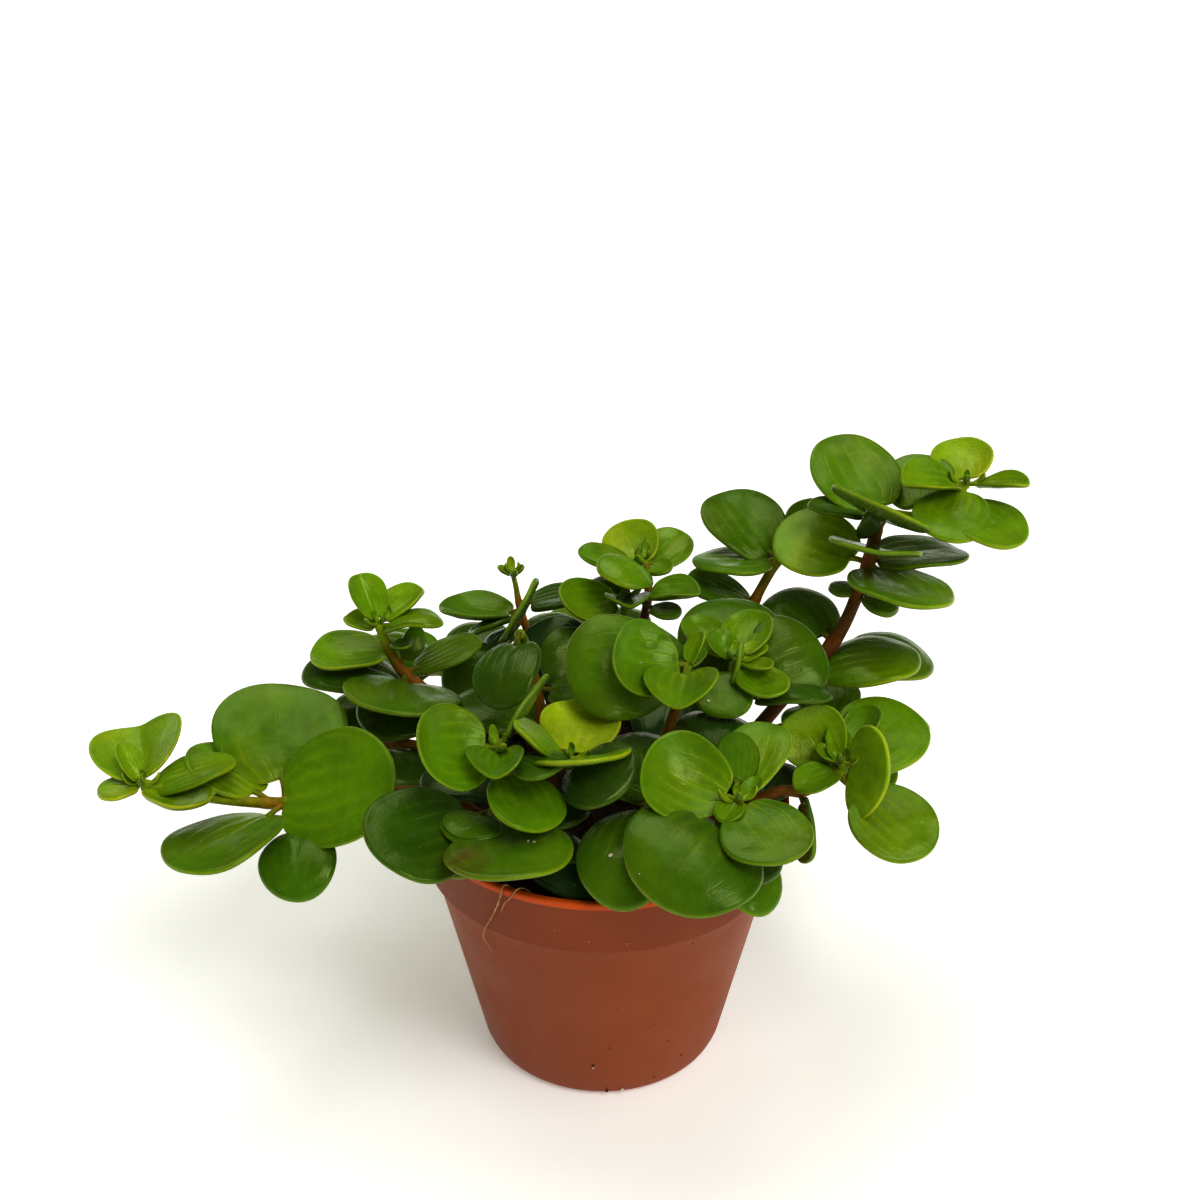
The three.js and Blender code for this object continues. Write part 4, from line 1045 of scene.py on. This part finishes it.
def leaf_place(stem_name, leaf_index, along_share, across_share, lift):
    """A place on the upper face of a leaf."""
    row_index = [row[0] for row in LEAFY_STEMS].index(stem_name)
    number = leaf_index + sum(len(row[4]) for row in LEAFY_STEMS[:row_index])
    path, leaves = LEAFY_STEMS[row_index][3:]
    place, kind, heading, rise, roll, stalk, length, width, _ = leaves[leaf_index]
    centred = 2 * along_share - 1
    angle = math.atan2(across_share, centred)
    ring = math.hypot(across_share, centred)
    x, y, z = blade_surface(kind, length, width, number, ring, angle)
    return stem_point(path, place) + np.array([stalk + x, y, z + lift]) @ leaf_directions(heading, rise, roll)


def pot_place(heading, height):
    """A place on the outside of the pot."""
    low, high = (WALL_FOOT_RADIUS, CORNER_SIZE), (WALL_TOP_RADIUS, COLLAR_BOTTOM)
    if height > COLLAR_BOTTOM:
        low, high = (COLLAR_BOTTOM_RADIUS, COLLAR_BOTTOM), (RIM_RADIUS - LIP_STEP, RIM_HEIGHT - LIP_HEIGHT)
    radius = mix(low, high, (height - low[1]) / (high[1] - low[1]))[0]
    angle = math.radians(heading)
    return radius * math.cos(angle), radius * math.sin(angle), height


def make_specks(pale, dark, random):
    """Pale grains on leaves and pot, and dark specks on the pot, one of them painted shade just above a pale
    chip.
    """
    form = lump_form()
    grains = Shape()
    for *spot, size in GRAINS:
        add_lump(grains, form, leaf_place(*spot, size * 0.4), (size, size * 0.7, size * 0.6), random)
    for heading, height, size in POT_CHIPS:
        add_lump(grains, form, pot_place(heading, height), (size, size * 0.8, size * 0.8), random)
    piece = grains.build("pale_grains", [pale])
    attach(piece, "root")
    marks = Shape()
    # The first dark speck is painted shade just above a pale chip; the rest are marks.
    for heading, height, size in POT_SPECKS_AND_SHADE:
        add_lump(marks, form, pot_place(heading, height), (size, size, size), random)
    piece = marks.build("dark_specks_and_shade", [dark])
    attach(piece, "root")


def make_roots(material):
    """Thin roots that taper and swell a little along their way."""
    shape = Shape()
    for thickness, path in HANGING_ROOTS:
        places = np.linspace(0, len(path) - 1, 6 * len(path))
        centres = [stem_point(path, place) for place in places]
        radii = thickness * np.linspace(1, 0.55, len(places)) * (1 + 0.12 * np.sin(places * 5))
        add_tube(shape, centres, radii, ROOT_SIDES, np.zeros((len(places), 3)))
    roots = shape.build("hanging_roots", [material])
    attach(roots, "root")


def make_floor():
    """A pale floor that is level all round the plant and rises softly far away, so no edge shows."""
    points = [(0, 0, 0)]
    for radius in FLOOR_RINGS:
        height = FLOOR_RISE * max(0, radius / FLOOR_LEVEL_REACH - 1) ** 2
        points += [(radius * math.cos(a), radius * math.sin(a), height) for a in circle(FLOOR_SIDES)]
    faces = fan_faces(0, 1, FLOOR_SIDES)
    faces += [face[::-1] for face in ring_faces(len(FLOOR_RINGS), FLOOR_SIDES, first=1)]
    floor = place_mesh("floor", points, faces, [floor_material()])


def make_light():
    """A faint warm sky and soft far lights; each shines from the direction where it stands."""
    world = bpy.data.worlds.new("studio")
    world.use_nodes = True
    background = world.node_tree.nodes["Background"]
    background.inputs["Color"].default_value = (*SKY_COLOUR, 1.0)
    background.inputs["Strength"].default_value = SKY_STRENGTH
    bpy.context.scene.world = world
    for name, source, spread, power in LIGHTS:
        data = bpy.data.lights.new(name, "SUN")
        data.angle = math.radians(spread)
        data.energy = power
        light = place_object(name, data)
        light.location = source
        light.rotation_euler = (-Vector(source)).to_track_quat("-Z", "Y").to_euler()


def make_camera():
    data = bpy.data.cameras.new("camera")
    data.sensor_width = SENSOR_MM
    data.lens = LENS_MM
    data.clip_start = 0.01
    camera = place_object("camera", data)
    camera.location = tuple(value * MM for value in CAMERA_PLACE)
    camera.rotation_euler = (math.radians(CAMERA_TILT), 0, 0)
    scene = bpy.context.scene
    scene.camera = camera
    scene.view_settings.view_transform = "Standard"
    scene.view_settings.gamma = CONTRAST_GAMMA


make_camera()
make_floor()
make_light()
make_leafy_stems([leaf_material(), stem_material()])
make_pot(pot_material())
soil_look = soil_material()
dice = np.random.default_rng(7)
make_soil(soil_look, dice)
make_crumbs(soil_look, dice)
make_specks(plain_material("pale_grain", GRAIN_TONES, 900.0, 0.8),
            plain_material("dark_speck_and_shade", SPECK_AND_SHADE_TONES, 900.0, 0.8), dice)
make_roots(plain_material("root_skin", ROOT_TONES, 500.0, 0.7))
